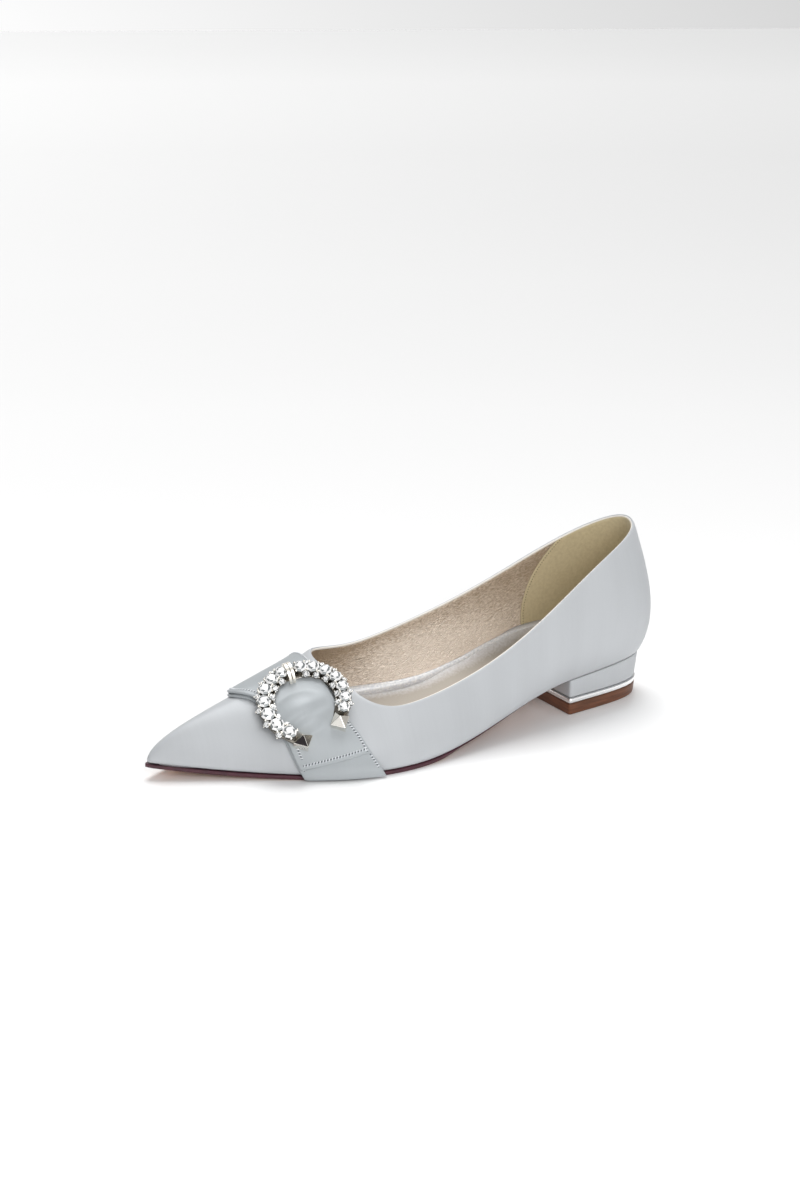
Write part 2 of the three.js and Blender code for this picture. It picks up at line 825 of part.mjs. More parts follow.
function stoneGeometry({ size, middle }) {
  const frame = ringFrame(middle);
  const seat = ringHeight + pieceGap;
  const points = [];
  for (const { reach, rise } of stoneProfile) {
    for (let k = 0; k < stoneSides; k += 1) {
      const angle = (2 * Math.PI * k) / stoneSides;
      const along = reach * size * Math.cos(angle);
      const aside = reach * size * Math.sin(angle);
      points.push(inFrame(frame, along, aside, seat + rise * size));
    }
  }
  const faces = gridFaces(stoneProfile.length, stoneSides, false, true);
  const foot = points.push(inFrame(frame, 0, 0, seat)) - 1;
  const table = points.push(inFrame(frame, 0, 0, seat + stoneProfile.at(-1).rise * size)) - 1;
  const last = (stoneProfile.length - 1) * stoneSides;
  for (let k = 0; k < stoneSides; k += 1) {
    const next = (k + 1) % stoneSides;
    faces.push([foot, next, k], [table, last + k, last + next]);
  }
  return solidFromFaces(points, faces);
}

// A four-sided spike that closes an end of the ring.
function spikeGeometry(atStart) {
  const frame = ringFrame(atStart ? 0 : ringLength);
  const away = (atStart ? -1 : 1) * (pieceGap + spikeSize / 2);
  const half = spikeSize / 2;
  const corners = [[-half, -half], [half, -half], [half, half], [-half, half]];
  const level = (above) => corners.map(([along, aside]) => (
    inFrame(frame, away + along, aside, above)
  ));
  const tip = inFrame(frame, away, 0, spikeBase + spikeHeight);
  const points = [...level(-ringRoot), ...level(spikeBase), tip];
  const faces = [[0, 2, 1], [0, 3, 2]];
  for (let k = 0; k < 4; k += 1) {
    const next = (k + 1) % 4;
    faces.push([k, next, next + 4], [k, next + 4, k + 4], [k + 4, next + 4, 8]);
  }
  return toGeometry(toSolid(solidFromFaces(points, faces)).subtract(ringClear));
}

const shoe = new THREE.Group();

function add(name, geometry, finish) {
  const mesh = new THREE.Mesh(geometry, new THREE.MeshStandardMaterial(finish));
  mesh.name = name;
  shoe.add(mesh);
}

const satin = { color: 0xbcc2c6, roughness: 0.45, metalness: 0 };
const chrome = { color: 0xd8dadc, roughness: 0.12, metalness: 1 };
const brown = { color: 0x6b4030, roughness: 0.5, metalness: 0 };
const crystal = { color: 0xf4f6f8, roughness: 0.05, metalness: 0 };
const silverLeather = { color: 0xc3bfb8, roughness: 0.35, metalness: 0.3 };

add('upper', upperGeometry(), satin);
add('outsole', outsoleGeometry(), brown);
add('insole', insoleGeometry(), silverLeather);
add('heel_block', heelBlockGeometry(), satin);
add('heel_band', heelSlice(liftHeight + pieceGap, liftHeight + pieceGap + bandHeight, 0), chrome);
add('top_lift', heelSlice(0, liftHeight, 0), brown);
add('strap_base', toGeometry(strapLayerSolid(baseLift, 0)), satin);
add('strap_cover', strapCoverGeometry(), satin);
add('ring_bar', ringBodyGeometry(), chrome);
add('ring_cuff', cuffGeometry(), chrome);
add('ring_spike_inner', spikeGeometry(true), chrome);
add('ring_spike_outer', spikeGeometry(false), chrome);
stones.forEach((stone, index) => {
  add(`stone_${String(index + 1).padStart(2, '0')}`, stoneGeometry(stone), crystal);
});

export default shoe;
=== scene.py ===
# %% [markdown]
# # A pointed satin court shoe with a ring of crystals
#
# A shoemaker pulls satin over a last, nails on a low covered heel and sews a wide satin strap over
# the vamp, with a cast ring of rhinestones on it. The frame brings the measured forms. This lesson
# joins and rounds them, lays the strap and the ring on them, and gives each piece its finish.

# %% The frame
import math
import bpy
import bmesh
import numpy
from mathutils import Matrix, Vector
from mathutils.bvhtree import BVHTree


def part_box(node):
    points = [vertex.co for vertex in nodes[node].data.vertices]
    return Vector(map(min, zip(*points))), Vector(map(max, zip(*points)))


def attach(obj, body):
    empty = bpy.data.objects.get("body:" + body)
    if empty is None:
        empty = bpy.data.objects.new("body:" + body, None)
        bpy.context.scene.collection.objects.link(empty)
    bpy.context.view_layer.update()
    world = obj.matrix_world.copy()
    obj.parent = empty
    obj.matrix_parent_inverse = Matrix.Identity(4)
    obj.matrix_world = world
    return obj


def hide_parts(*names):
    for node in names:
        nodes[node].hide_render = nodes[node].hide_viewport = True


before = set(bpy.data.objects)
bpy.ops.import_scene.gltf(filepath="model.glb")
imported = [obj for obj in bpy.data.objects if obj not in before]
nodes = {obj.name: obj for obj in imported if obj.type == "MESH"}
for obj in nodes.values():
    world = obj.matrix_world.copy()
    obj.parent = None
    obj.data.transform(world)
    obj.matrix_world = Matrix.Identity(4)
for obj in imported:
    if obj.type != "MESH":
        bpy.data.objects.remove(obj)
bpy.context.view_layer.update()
MM = 0.001


print("frame brings", len(nodes), "pieces")

# %% [markdown]
# ## Finishes
#
# Every finish starts from what the real one is made of. One function turns a printed colour into
# the linear numbers that Blender works with, one adds a node with its settings and links, and one
# starts a material with its surface.

# %% Colour, node and finish helpers
def colour(text):
    """A hex sRGB colour as the linear numbers that a socket takes."""
    values = [int(text[i:i + 2], 16) / 255 for i in (1, 3, 5)]
    linear = [v / 12.92 if v <= 0.04045 else ((v + 0.055) / 1.055) ** 2.4 for v in values]
    return (*linear, 1.0)


def add(tree, kind, settings=None, links=None):
    """Adds a node, sets its values and links the outputs of other nodes to its inputs. The stops of
    a ramp are two places from 0 to 1, each with its colour."""
    made = tree.nodes.new(kind)
    for name, value in (settings or {}).items():
        if name == "stops":
            for stop, (place, shade) in zip(made.color_ramp.elements, value):
                stop.position = place
                stop.color = colour(shade)
        elif isinstance(name, int) or name in made.inputs.keys():
            made.inputs[name].default_value = value
        else:
            setattr(made, name, value)
    for name, source in (links or {}).items():
        tree.links.new(source, made.inputs[name])
    return made


def new_finish(name, base, rough, **settings):
    """A material whose surface has this colour and roughness, its node tree and that surface."""
    made = bpy.data.materials.new(name)
    made.use_nodes = True
    surface = made.node_tree.nodes["Principled BSDF"]
    surface.inputs["Base Color"].default_value = colour(base)
    surface.inputs["Roughness"].default_value = rough
    for socket, value in settings.items():
        surface.inputs[socket.replace("_", " ")].default_value = value
    return made, made.node_tree, surface


# %% [markdown]
# ### Two common kinds of finish
#
# Most of the shoe's finishes are one of two kinds. A grained one has a tone and a relief that
# follow the same pattern. A polished one has an even colour, and a pattern that makes it uneven by
# a hair. Patterns are placed by the piece's own coordinates, and their scales are in waves for each
# metre, so 1000 gives one each millimetre.

# %% Grained and polished finishes
def cloudy_pattern(tree, scale, detail, source=None):
    """Soft spots, placed by the piece's own coordinates or by another source of places."""
    source = source or add(tree, "ShaderNodeTexCoord").outputs["Object"]
    sized = add(tree, "ShaderNodeMapping", {"Scale": scale}, {"Vector": source})
    return add(tree, "ShaderNodeTexNoise", {"Scale": 1.0, "Detail": detail},
               {"Vector": sized.outputs["Vector"]})


def finish_with(tree, surface, pattern, depth, tone=None):
    """Gives the surface a relief that follows the pattern, and a tone."""
    relief = add(tree, "ShaderNodeBump", {"Distance": depth}, {"Height": pattern.outputs["Fac"]})
    tree.links.new(relief.outputs["Normal"], surface.inputs["Normal"])
    if tone:
        tree.links.new(tone.outputs["Color"], surface.inputs["Base Color"])


def make_grained(name, stops, rough, scale, detail, depth, **settings):
    """A finish whose tone and relief follow one pattern."""
    made, tree, surface = new_finish(name, stops[1][1], rough, **settings)
    pattern = cloudy_pattern(tree, scale, detail)
    tone = add(tree, "ShaderNodeValToRGB", {"stops": stops}, {"Fac": pattern.outputs["Fac"]})
    finish_with(tree, surface, pattern, depth, tone)
    return made


def make_polished(name, base, rough, scale, detail, depth, **settings):
    """A finish of one colour that is uneven by a hair."""
    made, tree, surface = new_finish(name, base, rough, **settings)
    finish_with(tree, surface, cloudy_pattern(tree, scale, detail), depth)
    return made


# %% [markdown]
# ### Satin
#
# Satin is woven so that long threads lie on its face. That gives it a soft, wide lustre rather
# than a sharp gloss, and faint lines along the threads. The threads are about 0.1 mm apart, too
# fine to show, so the lines are drawn about 1 mm apart. Its lustre is also painted into its tone,
# as a painted sheen in soft bands some 15 mm wide. Both read the piece's own map of the cloth, in
# metres, so they bend round the heel with it. The strap is cut across the grain, and its satin is
# painted a little darker there, a painted shade for its sheen across the grain.

# %% Satin
def make_satin(name, dull, bright):
    """A pale silver grey that glows softly, with a painted sheen, and has no sharp gloss."""
    made, tree, surface = new_finish(name, bright, 0.5, Metallic=0.12, Specular_IOR_Level=0.25)
    cloth = add(tree, "ShaderNodeUVMap", {"uv_map": "cloth"})
    lines = cloudy_pattern(tree, (1000.0, 30.0, 1.0), 2.0, cloth.outputs["UV"])
    # Painted sheen: soft bands, some 15 mm wide, of lighter and darker satin.
    painted_sheen_bands = cloudy_pattern(tree, (60.0, 8.0, 1.0), 1.0, cloth.outputs["UV"])
    threads_and_painted_sheen = add(tree, "ShaderNodeMath", {"operation": "MULTIPLY_ADD", 1: 0.3},
                 {0: lines.outputs["Fac"], 2: painted_sheen_bands.outputs["Fac"]})
    tone = add(tree, "ShaderNodeValToRGB", {"stops": [(0.45, dull), (0.85, bright)]},
               {"Fac": threads_and_painted_sheen.outputs["Value"]})
    finish_with(tree, surface, lines, 0.01 * MM, tone)
    return made


satin = make_satin("silver grey duchess satin", "#bfc2c5", "#c4c7ca")
# Painted shade: the strap's copy of the satin is darker, for its sheen across the grain.
strap_satin_painted_darker = make_satin("silver grey satin across the grain, painted darker as shade", "#acb1b4", "#b1b6b9")
print("made", satin.name, "and", strap_satin_painted_darker.name)

# %% [markdown]
# ### Lining
#
# The quarters are lined with a thin metallic goat leather, crinkled in a drum. Its creases are
# about 0.5 mm high and 1.5 mm long and run slightly uphill. Its tone is painted brighter where it
# faces up, a painted light from above, so the wall is darker at the top. The counter lining is the
# flesh side of a leather, matt and pale yellow, with a nap of about a millimetre.

# %% Lining leathers
def make_lining():
    """A warm champagne that shines where creases turn to the light, painted lighter facing up."""
    made, tree, surface = new_finish("crinkled champagne goat leather", "#e8d8c8", 0.32, Metallic=0.3)
    place = add(tree, "ShaderNodeTexCoord")
    drawn = add(tree, "ShaderNodeMapping",
                {"vector_type": "TEXTURE", "Rotation": (0.0, -0.3, 0.0),
                 "Scale": (1.5 * MM, 0.8 * MM, 0.5 * MM)},
                {"Vector": place.outputs["Object"]})
    creases = add(tree, "ShaderNodeTexNoise", {"Scale": 1.0, "Detail": 2.0, "Distortion": 0.5},
                  {"Vector": drawn.outputs["Vector"]})
    shape = add(tree, "ShaderNodeNewGeometry")
    facing = add(tree, "ShaderNodeSeparateXYZ", links={0: shape.outputs["Normal"]})
    # Painted light: the tone is brighter where the surface faces up and darker at the wall's top.
    painted_light_from_above = add(tree, "ShaderNodeMath", {"operation": "MULTIPLY_ADD", 1: 0.9},
                 {0: creases.outputs["Fac"], 2: facing.outputs["Z"]})
    tone = add(tree, "ShaderNodeValToRGB", {"stops": [(0.15, "#b59f86"), (0.65, "#fff0e0")]},
               {"Fac": painted_light_from_above.outputs["Value"]})
    finish_with(tree, surface, creases, 0.9 * MM, tone)
    return made


lining = make_lining()
# A dusty pale yellow without any shine
suede = make_grained(
    "buff counter suede", [(0.3, "#ccbd98"), (0.7, "#d8caa6")], rough=0.85,
    scale=(700.0, 700.0, 700.0), detail=4.0, depth=0.1 * MM, Sheen_Weight=0.3)
print("made", lining.name, "and", suede.name)

# %% [markdown]
# ### Sock and sole leathers
#
# The sock and the piping round it are leather with a silver foil pressed on. The foil breaks up
# over the grain into bright and dull specks. They are drawn about 1 mm wide, coarser than the real
# grain, so that they show. The sole is vegetable tanned, with a cloudy grain of about 3 mm, and its
# cut edge has a coat of burgundy paint.

# %% Sock and sole leathers
foil_grain = (900.0, 900.0, 900.0)
foil_depth = 0.08 * MM


def make_sock():
    """Painted bright near the rim as a highlight, and darker champagne inside as a reflection."""
    made, tree, surface = new_finish("silver foiled sock leather", "#c4beb8", 0.5, Metallic=0.2)
    specks = cloudy_pattern(tree, foil_grain, 2.0)
    rim = add(tree, "ShaderNodeUVMap", {"uv_map": "rim"})
    from_rim = add(tree, "ShaderNodeSeparateXYZ", links={0: rim.outputs["UV"]})
    # Painted light: bright near the rim, darker champagne towards the middle.
    painted_rim_highlight_and_reflection = add(tree, "ShaderNodeMath", {"operation": "MULTIPLY_ADD", 1: 0.4},
                  {0: specks.outputs["Fac"], 2: from_rim.outputs["X"]})
    tone = add(tree, "ShaderNodeValToRGB", {"stops": [(0.3, "#e8e8ea"), (0.9, "#aca499")]},
               {"Fac": painted_rim_highlight_and_reflection.outputs["Value"]})
    finish_with(tree, surface, specks, foil_depth, tone)
    return made


sock = make_sock()
# A bright silver roll whose specks sparkle a little
silver_edge = make_grained(
    "silver foiled piping", [(0.35, "#e6e8ec"), (0.65, "#ffffff")], rough=0.52,
    scale=foil_grain, detail=2.0, depth=foil_depth, Metallic=0.3)
# A warm tan that looks dry
sole_leather = make_grained(
    "tan sole leather", [(0.3, "#9c6742"), (0.7, "#b37c55")], rough=0.5,
    scale=(350.0, 350.0, 350.0), detail=5.0, depth=0.1 * MM)
# A dark wine red line with a dull gloss, a little uneven where the brush went
edge_paint = make_grained(
    "burgundy edge paint", [(0.3, "#42202b"), (0.7, "#552a36")], rough=0.35,
    scale=(250.0, 250.0, 250.0), detail=2.0, depth=0.0)
print("made", sock.name, silver_edge.name, sole_leather.name, edge_paint.name)

# %% [markdown]
# ### Heel lift and metals
#
# The lift is moulded and printed to look like a stack of leather: thin layers with brown streaks
# about 1 mm high and some 15 mm long. The band and the ring are plated. Polishing by hand leaves
# their faces a little uneven, some 2 mm from one shallow dip to the next.

# %% Heel lift and metals
# A warm brown with level streaks
stack = make_grained(
    "stacked heel lift", [(0.3, "#52301c"), (0.7, "#7d4d33")], rough=0.45,
    scale=(60.0, 60.0, 900.0), detail=4.0, depth=0.1 * MM)


def make_plate(name, base, rough):
    """A metal's mirror, soft or clear by its roughness."""
    return make_polished(name, base, rough, scale=(500.0, 500.0, 500.0), detail=2.0,
                         depth=0.01 * MM, Metallic=1.0)


# A soft silver line between the heel and its lift
band_plate = make_plate("chrome plated heel band", "#ffffff", 0.25)
# Clear, slightly warm reflections on claws and pyramids
ring_plate = make_plate("polished plated zinc", "#f4f1ea", 0.14)
# An even, creamy light on the cuff's ridges; on some of the pyramids' sides it is a painted light
brushed_plate_and_painted_light = make_plate("brushed plated zinc, painted light on pyramid sides", "#fffaf0", 0.35)
# The grey that outlines each stone, painted as shade on the bar, the cups and one pyramid side
painted_shade_plate = make_plate("plated zinc painted dark as shade", "#8f8a82", 0.2)
# The one dark facet at the ring's end, painted dark as a reflection of shade
painted_dark_reflection_plate = make_plate("plate painted dark as a reflection of shade", "#3d393a", 0.15)
print("made", stack.name, band_plate.name, ring_plate.name, brushed_plate_and_painted_light.name)

# %% [markdown]
# ### Crystals and threads
#
# A rhinestone is lead glass with a foil behind it, which sends the light back out. Some of its
# facets then look white and the others grey, and which ones is settled by their directions. So the
# crown has two finishes: a white painted as sparkle, and the grey of the foil, painted as shade on
# the crown. Each is uneven by a hair over about 1 mm. The threads are plain polyester, and a
# groove is satin that a row of stitches pulls down into its own shadow, painted on a dark cord.

# %% Crystals and threads
def make_facet(name, base, metallic):
    """A hard, clear gloss: white as painted sparkle, a grey mirror as foiling and painted shade."""
    return make_polished(name, base, 0.04, scale=(900.0, 900.0, 900.0), detail=1.0,
                         depth=0.02 * MM, Metallic=metallic, IOR=1.6)


# The white of a facet that sends the light back, painted as sparkle
crystal = make_facet("lead crystal facet painted bright as sparkle", "#ffffff", 0.1)
# The grey of the foil on the pavilion, also painted as shade on crown facets
foil_and_painted_shade = make_facet("grey facet of foiled lead crystal", "#b2b6b7", 0.8)
# A pale thread that stands out from the grey satin
thread = new_finish("silver grey polyester thread", "#e6e9ec", 0.5)[0]
# The dark line between the stitches, a painted shade of their groove
groove_shade_finish = new_finish("painted shade of a stitched groove", "#5f656b", 0.7)[0]
# A dull thread on the pale suede
cream_thread = new_finish("buff polyester thread", "#8c7f60", 0.6)[0]
# The light line just inside the topline
cream_edge = new_finish("cream folded edge", "#efeae2", 0.5)[0]
print("made", crystal.name, foil_and_painted_shade.name, thread.name)

# %% [markdown]
# ## Joining the frame's triangles
#
# The frame's forms are regular grids cut into triangles, and a smooth surface needs the grid back.
# Blender can join triangles two by two, but it guesses where the cells are skewed. In a regular
# grid, an edge that leaves one end of a shared edge is parallel to the edge that leaves its other
# end on the far side. Walking from triangle to triangle with that rule sorts all edges into three
# directions, and the longest of them are the diagonals to take out.

# %% Joined copies
def grid_directions(form):
    """Sorts the edges of a grid of triangles by the direction they run in."""
    marks = {edge: number for number, edge in enumerate(form.faces[0].edges)}
    seen = {form.faces[0]}
    waiting = [form.faces[0]]
    while waiting:
        face = waiting.pop(0)
        for edge in face.edges:
            for other in edge.link_faces:
                if other in seen:
                    continue
                for near in face.edges:
                    if near is edge:
                        continue
                    corner = next(vert for vert in near.verts if vert in edge.verts)
                    far_corner = edge.other_vert(corner)
                    beyond = next(e for e in other.edges if e is not edge and far_corner in e.verts)
                    marks.setdefault(beyond, marks[near])
                seen.add(other)
                waiting.append(other)
    return marks


def frame_copy(name):
    """A copy of a frame piece, with the corners that its triangles share merged."""
    form = bmesh.new()
    form.from_mesh(nodes[name].data)
    bmesh.ops.remove_doubles(form, verts=form.verts, dist=0.01 * MM)
    form.faces.ensure_lookup_table()
    return form


def joined_copy(name):
    """A copy of a frame piece, a grid of triangles, with its four-sided faces put together."""
    form = frame_copy(name)
    marks = grid_directions(form)
    lengths = [sum(edge.calc_length() for edge in marks if marks[edge] == m) for m in range(3)]
    diagonals = [edge for edge in marks if marks[edge] == lengths.index(max(lengths))]
    bmesh.ops.dissolve_edges(form, edges=diagonals, use_verts=False)
    print(name, "joined to", len(form.faces), "faces,",
          sum(len(face.verts) != 4 for face in form.faces), "not four-sided")
    return form


# %% [markdown]
# ## The cloth's map
#
# Satin is cut so that its threads cross the shoe's sides upright and run round the vamp. The map
# gives each point its place along the shoe, turning round the counter, and its place round it.

# %% The cloth's map
counter_middle = -10.0 * MM
counter_radius = 26.0 * MM


def map_cloth(form):
    """Writes each corner's place in the cloth to a map named cloth."""
    layer = form.loops.layers.uv.new("cloth")
    for face in form.faces:
        for loop in face.loops:
            x, y, z = loop.vert.co
            behind = max(x - counter_middle, 0.0)
            along = min(x, counter_middle) + counter_radius * math.atan2(behind, abs(y))
            loop[layer].uv = (along, z - abs(y))


# %% [markdown]
# ## Placing a piece
#
# Every piece goes into the scene the same way: its mesh and finishes, its rounding, the body it
# rides on, the slot of its finish and the frame's nodes it stands for. One function does it all.

# %% Placing a piece
def put_in_scene(name, data):
    """A new object of the scene with this mesh, curve, camera or light."""
    made = bpy.data.objects.new(name, data)
    bpy.context.scene.collection.objects.link(made)
    return made


def add_piece(form, name, finishes, stands_for=(), levels=0, sharp=None):
    """Puts a finished form into the scene as a piece that rides on the shoe. Edges that turn by
    more than sharp, in degrees, are shaded as edges."""
    mesh = bpy.data.meshes.new(name)
    form.to_mesh(mesh)
    form.free()
    for finish in finishes:
        mesh.materials.append(finish)
    mesh.shade_smooth()
    if sharp is not None:
        mesh.set_sharp_from_angle(angle=math.radians(sharp))
    piece = put_in_scene(name, mesh)
    if levels:
        smooth = piece.modifiers.new("rounding", "SUBSURF")
        smooth.levels = levels
        smooth.render_levels = levels
    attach(piece, "root")
    if stands_for:
        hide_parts(*stands_for)
    print(name, len(mesh.polygons), "faces")
    return piece


# %% [markdown]
# ## The upper
#
# The upper is one skin: satin outside, folded over at the topline and lined inside. A face that
# looks towards the foot is lining, and every other face is satin.

# %% The upper
def clamp(value, low=0.0, high=1.0):
    """The value, held between two limits."""
    return min(max(value, low), high)


toe_x = -200.0 * MM
arch_x = -95.0 * MM
arch_length = 60.0 * MM
toe_height = 4.0 * MM
heel_rise = 26.0 * MM


def foot_middle(point):
    """The middle of the foot space beside a point of the shoe, which rises along the arch."""
    x = clamp(point.x, toe_x, 0.0)
    return Vector((x, 0.0, toe_height + heel_rise * clamp((x - arch_x) / arch_length)))


upper_form = joined_copy("upper")
faces_foot = -0.25
for face in upper_form.faces:
    centre = face.calc_center_median()
    outward = (centre - foot_middle(centre)).normalized()
    face.material_index = 1 if face.normal.dot(outward) < faces_foot else 0
map_cloth(upper_form)
upper = add_piece(upper_form, "upper_body", [satin, lining], ["upper"], 2)

# %% [markdown]
# ## The counter lining
#
# Behind a curved seam the lining changes to suede, which holds the heel. Faces picked by their
# places would end in a stepped edge. So it is cut from the rounded upper's own lining by planes
# that touch an arc one after the other, and raised a little.

# %% The counter lining
seam_middle = Vector((39.0 * MM, 0.0, 30.0 * MM))
seam_radius = 60.0 * MM
suede_thickness = 0.5 * MM
suede_front_limit = -40.0 * MM


def shown():
    """The scene as it is shown, with its modifiers."""
    bpy.context.view_layer.update()
    return bpy.context.evaluated_depsgraph_get()


def rounded_form(piece):
    """A piece's mesh as it is shown."""
    form = bmesh.new()
    form.from_object(piece, shown())
    return form


def seam_spoke(angle):
    """The way from the middle of the seam's arc to a point of it, at an angle in degrees."""
    turn = math.radians(angle)
    return Vector((math.cos(turn), 0.0, math.sin(turn)))


def make_counter_lining():
    """The suede: the upper's lining behind the seam's arc, raised to its own thickness."""
    form = rounded_form(upper)
    outside = [face for face in form.faces
               if face.material_index == 0 or face.calc_center_median().x < suede_front_limit]
    bmesh.ops.delete(form, geom=outside, context="FACES")
    for angle in range(130, 211, 4):
        spoke = seam_spoke(angle)
        bmesh.ops.bisect_plane(
            form, geom=[*form.verts, *form.edges, *form.faces], dist=0.001 * MM,
            plane_co=seam_middle + seam_radius * spoke, plane_no=spoke, clear_outer=True)
    for vert in form.verts:
        vert.co += suede_thickness * vert.normal
    bmesh.ops.solidify(form, geom=form.faces, thickness=0.9 * suede_thickness)
    for face in form.faces:
        face.material_index = 0
    return add_piece(form, "counter_lining", [suede])


counter_lining = make_counter_lining()

# %% [markdown]
# ## The topline's folded edge
#
# The lining's folded edge shows as a thin cream cord just inside the topline. The edges where satin
# meets lining, walked end to end, are its line. A curve with a round bevel makes a cord, and is
# turned into a mesh, as every piece is exported as one.

# %% The topline's folded edge
def longest_loop(edges):
    """The points of the longest line that edges make, end to end."""
    left = set(edges)
    loops = []
    while left:
        edge = left.pop()
        loop = [edge.verts[0], edge.verts[1]]
        while True:
            following = next((e for e in loop[-1].link_edges if e in left), None)
            if following is None:
                break
            left.discard(following)
            loop.append(following.other_vert(loop[-1]))
        loops.append([vert.co.copy() for vert in loop[:-1]])
    return max(loops, key=len)


below_topline = 12.0 * MM
topline_cord_radius = 0.5 * MM


def topline_points():
    """The inner edge of the rounded topline, where satin meets lining well above the sole."""
    form = rounded_form(upper)
    rim = [edge for edge in form.edges
           if len({face.material_index for face in edge.link_faces}) == 2
           and edge.verts[0].co.z > below_topline]
    points = longest_loop(rim)
    form.free()
    return points


def cord_piece(name, points, radius, finish, closed, fullness=None):
    """A round cord along points, made a mesh. fullness gives each point's share of the radius."""
    curve = bpy.data.curves.new(name, "CURVE")
    curve.dimensions = "3D"
    curve.bevel_depth = radius
    curve.bevel_resolution = 2
    line = curve.splines.new("POLY")
    line.points.add(len(points) - 1)
    for spot, point in zip(line.points, points):
        spot.co = (*point, 1.0)
        spot.radius = fullness(point) if fullness else 1.0
    line.use_cyclic_u = closed
    holder = put_in_scene(name, curve)
    form = bmesh.new()
    bpy.context.view_layer.update()
    form.from_mesh(holder.to_mesh())
    holder.to_mesh_clear()
    bpy.data.objects.remove(holder)
    bpy.data.curves.remove(curve)
    bmesh.ops.recalc_face_normals(form, faces=form.faces)
    return add_piece(form, name, [finish])


cord_piece("topline_cord", topline_points(), topline_cord_radius, cream_edge, True)

# %% [markdown]
# ## The sock
#
# The sock is a dished leather on the insole board. A map named rim holds how far each point lies
# from its rim, for its tone: painted bright silver near the rim, a painted highlight, and darker
# champagne in the middle, a painted reflection of the lining. A silver piping lies round it, where
# it meets the quarters, so a thick cord is drawn in from the rim, whose heights are smoothed first.

# %% The sock
def turning_edges(form, angle):
    """The edges at which a form turns by more than an angle in degrees."""
    return [edge for edge in form.edges if edge.calc_face_angle(0.0) > math.radians(angle)]


def crease_sharp(form, angle, amount=1.0):
    """Keeps the edges that turn by more than an angle sharp when the form is rounded."""
    layer = form.edges.layers.float.new("crease_edge")
    for edge in turning_edges(form, angle):
        edge[layer] = amount


sock_form = joined_copy("insole")
crease_sharp(sock_form, angle=70.0, amount=0.8)
faces_up = 0.3
sock_rim = [edge for edge in turning_edges(sock_form, 50.0)
            if max(face.normal.z for face in edge.link_faces) > faces_up]
rim_points = longest_loop(sock_rim)
print("sock rim", len(sock_rim), "edges,", len(rim_points), "in its line")
rim_reach = 12.0 * MM
rim_map = sock_form.loops.layers.uv.new("rim")
for vert in sock_form.verts:
    from_rim = min((vert.co - point).length for point in rim_points)
    for loop in vert.link_loops:
        loop[rim_map].uv = (from_rim / rim_reach, 0.0)
add_piece(sock_form, "sock", [sock], ["insole"], 2)

edge_radius = 2.8 * MM
edge_drawn_in = 1.9 * MM
edge_sunk = Vector((0.0, 0.0, 1.1 * MM))
edge_full_x = -120.0 * MM
edge_thinning = 70.0 * MM
edge_lost = 0.55
ball_x = -150.0 * MM
smoothing_rounds = 12
for smoothing in range(smoothing_rounds):
    heights = [point.z for point in rim_points]
    for number, point in enumerate(rim_points):
        after = heights[(number + 1) % len(heights)]
        point.z = 0.25 * heights[number - 1] + 0.5 * point.z + 0.25 * after


def edge_fullness(point):
    """The piping is full at the ball and thins towards the heel."""
    return 1.0 - edge_lost * clamp((point.x - edge_full_x) / edge_thinning)


edge_line = []
for point in rim_points:
    inward = Vector((clamp(point.x, ball_x, 0.0), 0.0, point.z)) - point
    drawn_in = edge_drawn_in * edge_fullness(point)
    edge_line.append(point + drawn_in * inward.normalized() - edge_sunk)
cord_piece("sock_edge", edge_line, edge_radius, silver_edge, True, edge_fullness)

# %% [markdown]
# ## The outsole
#
# The outsole is thin leather, cut to the last's outline, with a painted edge. Creases keep its cut
# edge sharp while the outline and the tread are rounded. At the waist a shoemaker bevels the edge
# under, so there the tread's points move in and the paint turns away from the eye.

# %% The outsole
waist_front = -100.0 * MM
waist_run_in = 30.0 * MM
waist_end = 8.0 * MM
waist_run_out = 12.0 * MM
waist_bevel = 0.17
faces_down = -0.7
heel_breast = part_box("heel_block")[0][0]


def waist_share(x):
    """How far a place lies in the sole's waist: 0 at the forefoot and under the heel, else up to 1."""
    behind_front = (x - waist_front) / waist_run_in
    before_heel = (heel_breast + waist_end - x) / waist_run_out
    return clamp(min(behind_front, before_heel))


sole_form = joined_copy("outsole")
crease_sharp(sole_form, angle=50.0)
tread = {vert for face in sole_form.faces if face.normal.z < faces_down for vert in face.verts}
for face in sole_form.faces:
    face.material_index = 0 if face.normal.z < faces_down else 1
for vert in tread:
    vert.co.y *= 1.0 - waist_bevel * waist_share(vert.co.x)
add_piece(sole_form, "sole", [sole_leather, edge_paint], ["outsole"], 2)

# %% [markdown]
# ## The heel
#
# A block covered with the upper's satin stands on a plated band and a streaked lift. Each is a
# slice of one outline, so its flat ends are cleaned of their triangles and its edges get a small
# round: soft where satin is folded over, crisp on plate and plastic.

# %% The heel
def whole_faced_copy(name):
    """A copy of a frame piece whose flat faces are whole again."""
    form = frame_copy(name)
    bmesh.ops.dissolve_limit(form, angle_limit=math.radians(1.0), verts=form.verts, edges=form.edges)
    return form


def round_rims(form, angle, width, segments):
    """Rounds the edges that turn by more than an angle."""
    bmesh.ops.bevel(form, geom=turning_edges(form, angle), offset=width, offset_type="OFFSET",
                    segments=segments, profile=0.5, affect="EDGES", material=-1,
                    clamp_overlap=True)


def heel_slice(name, piece_name, finish, edge_round, cloth=False):
    """One slice of the heel, its flat ends whole again and its edges rounded."""
    form = whole_faced_copy(name)
    round_rims(form, 50.0, edge_round, 3)
    if cloth:
        map_cloth(form)
    add_piece(form, piece_name, [finish], [name], sharp=35.0)


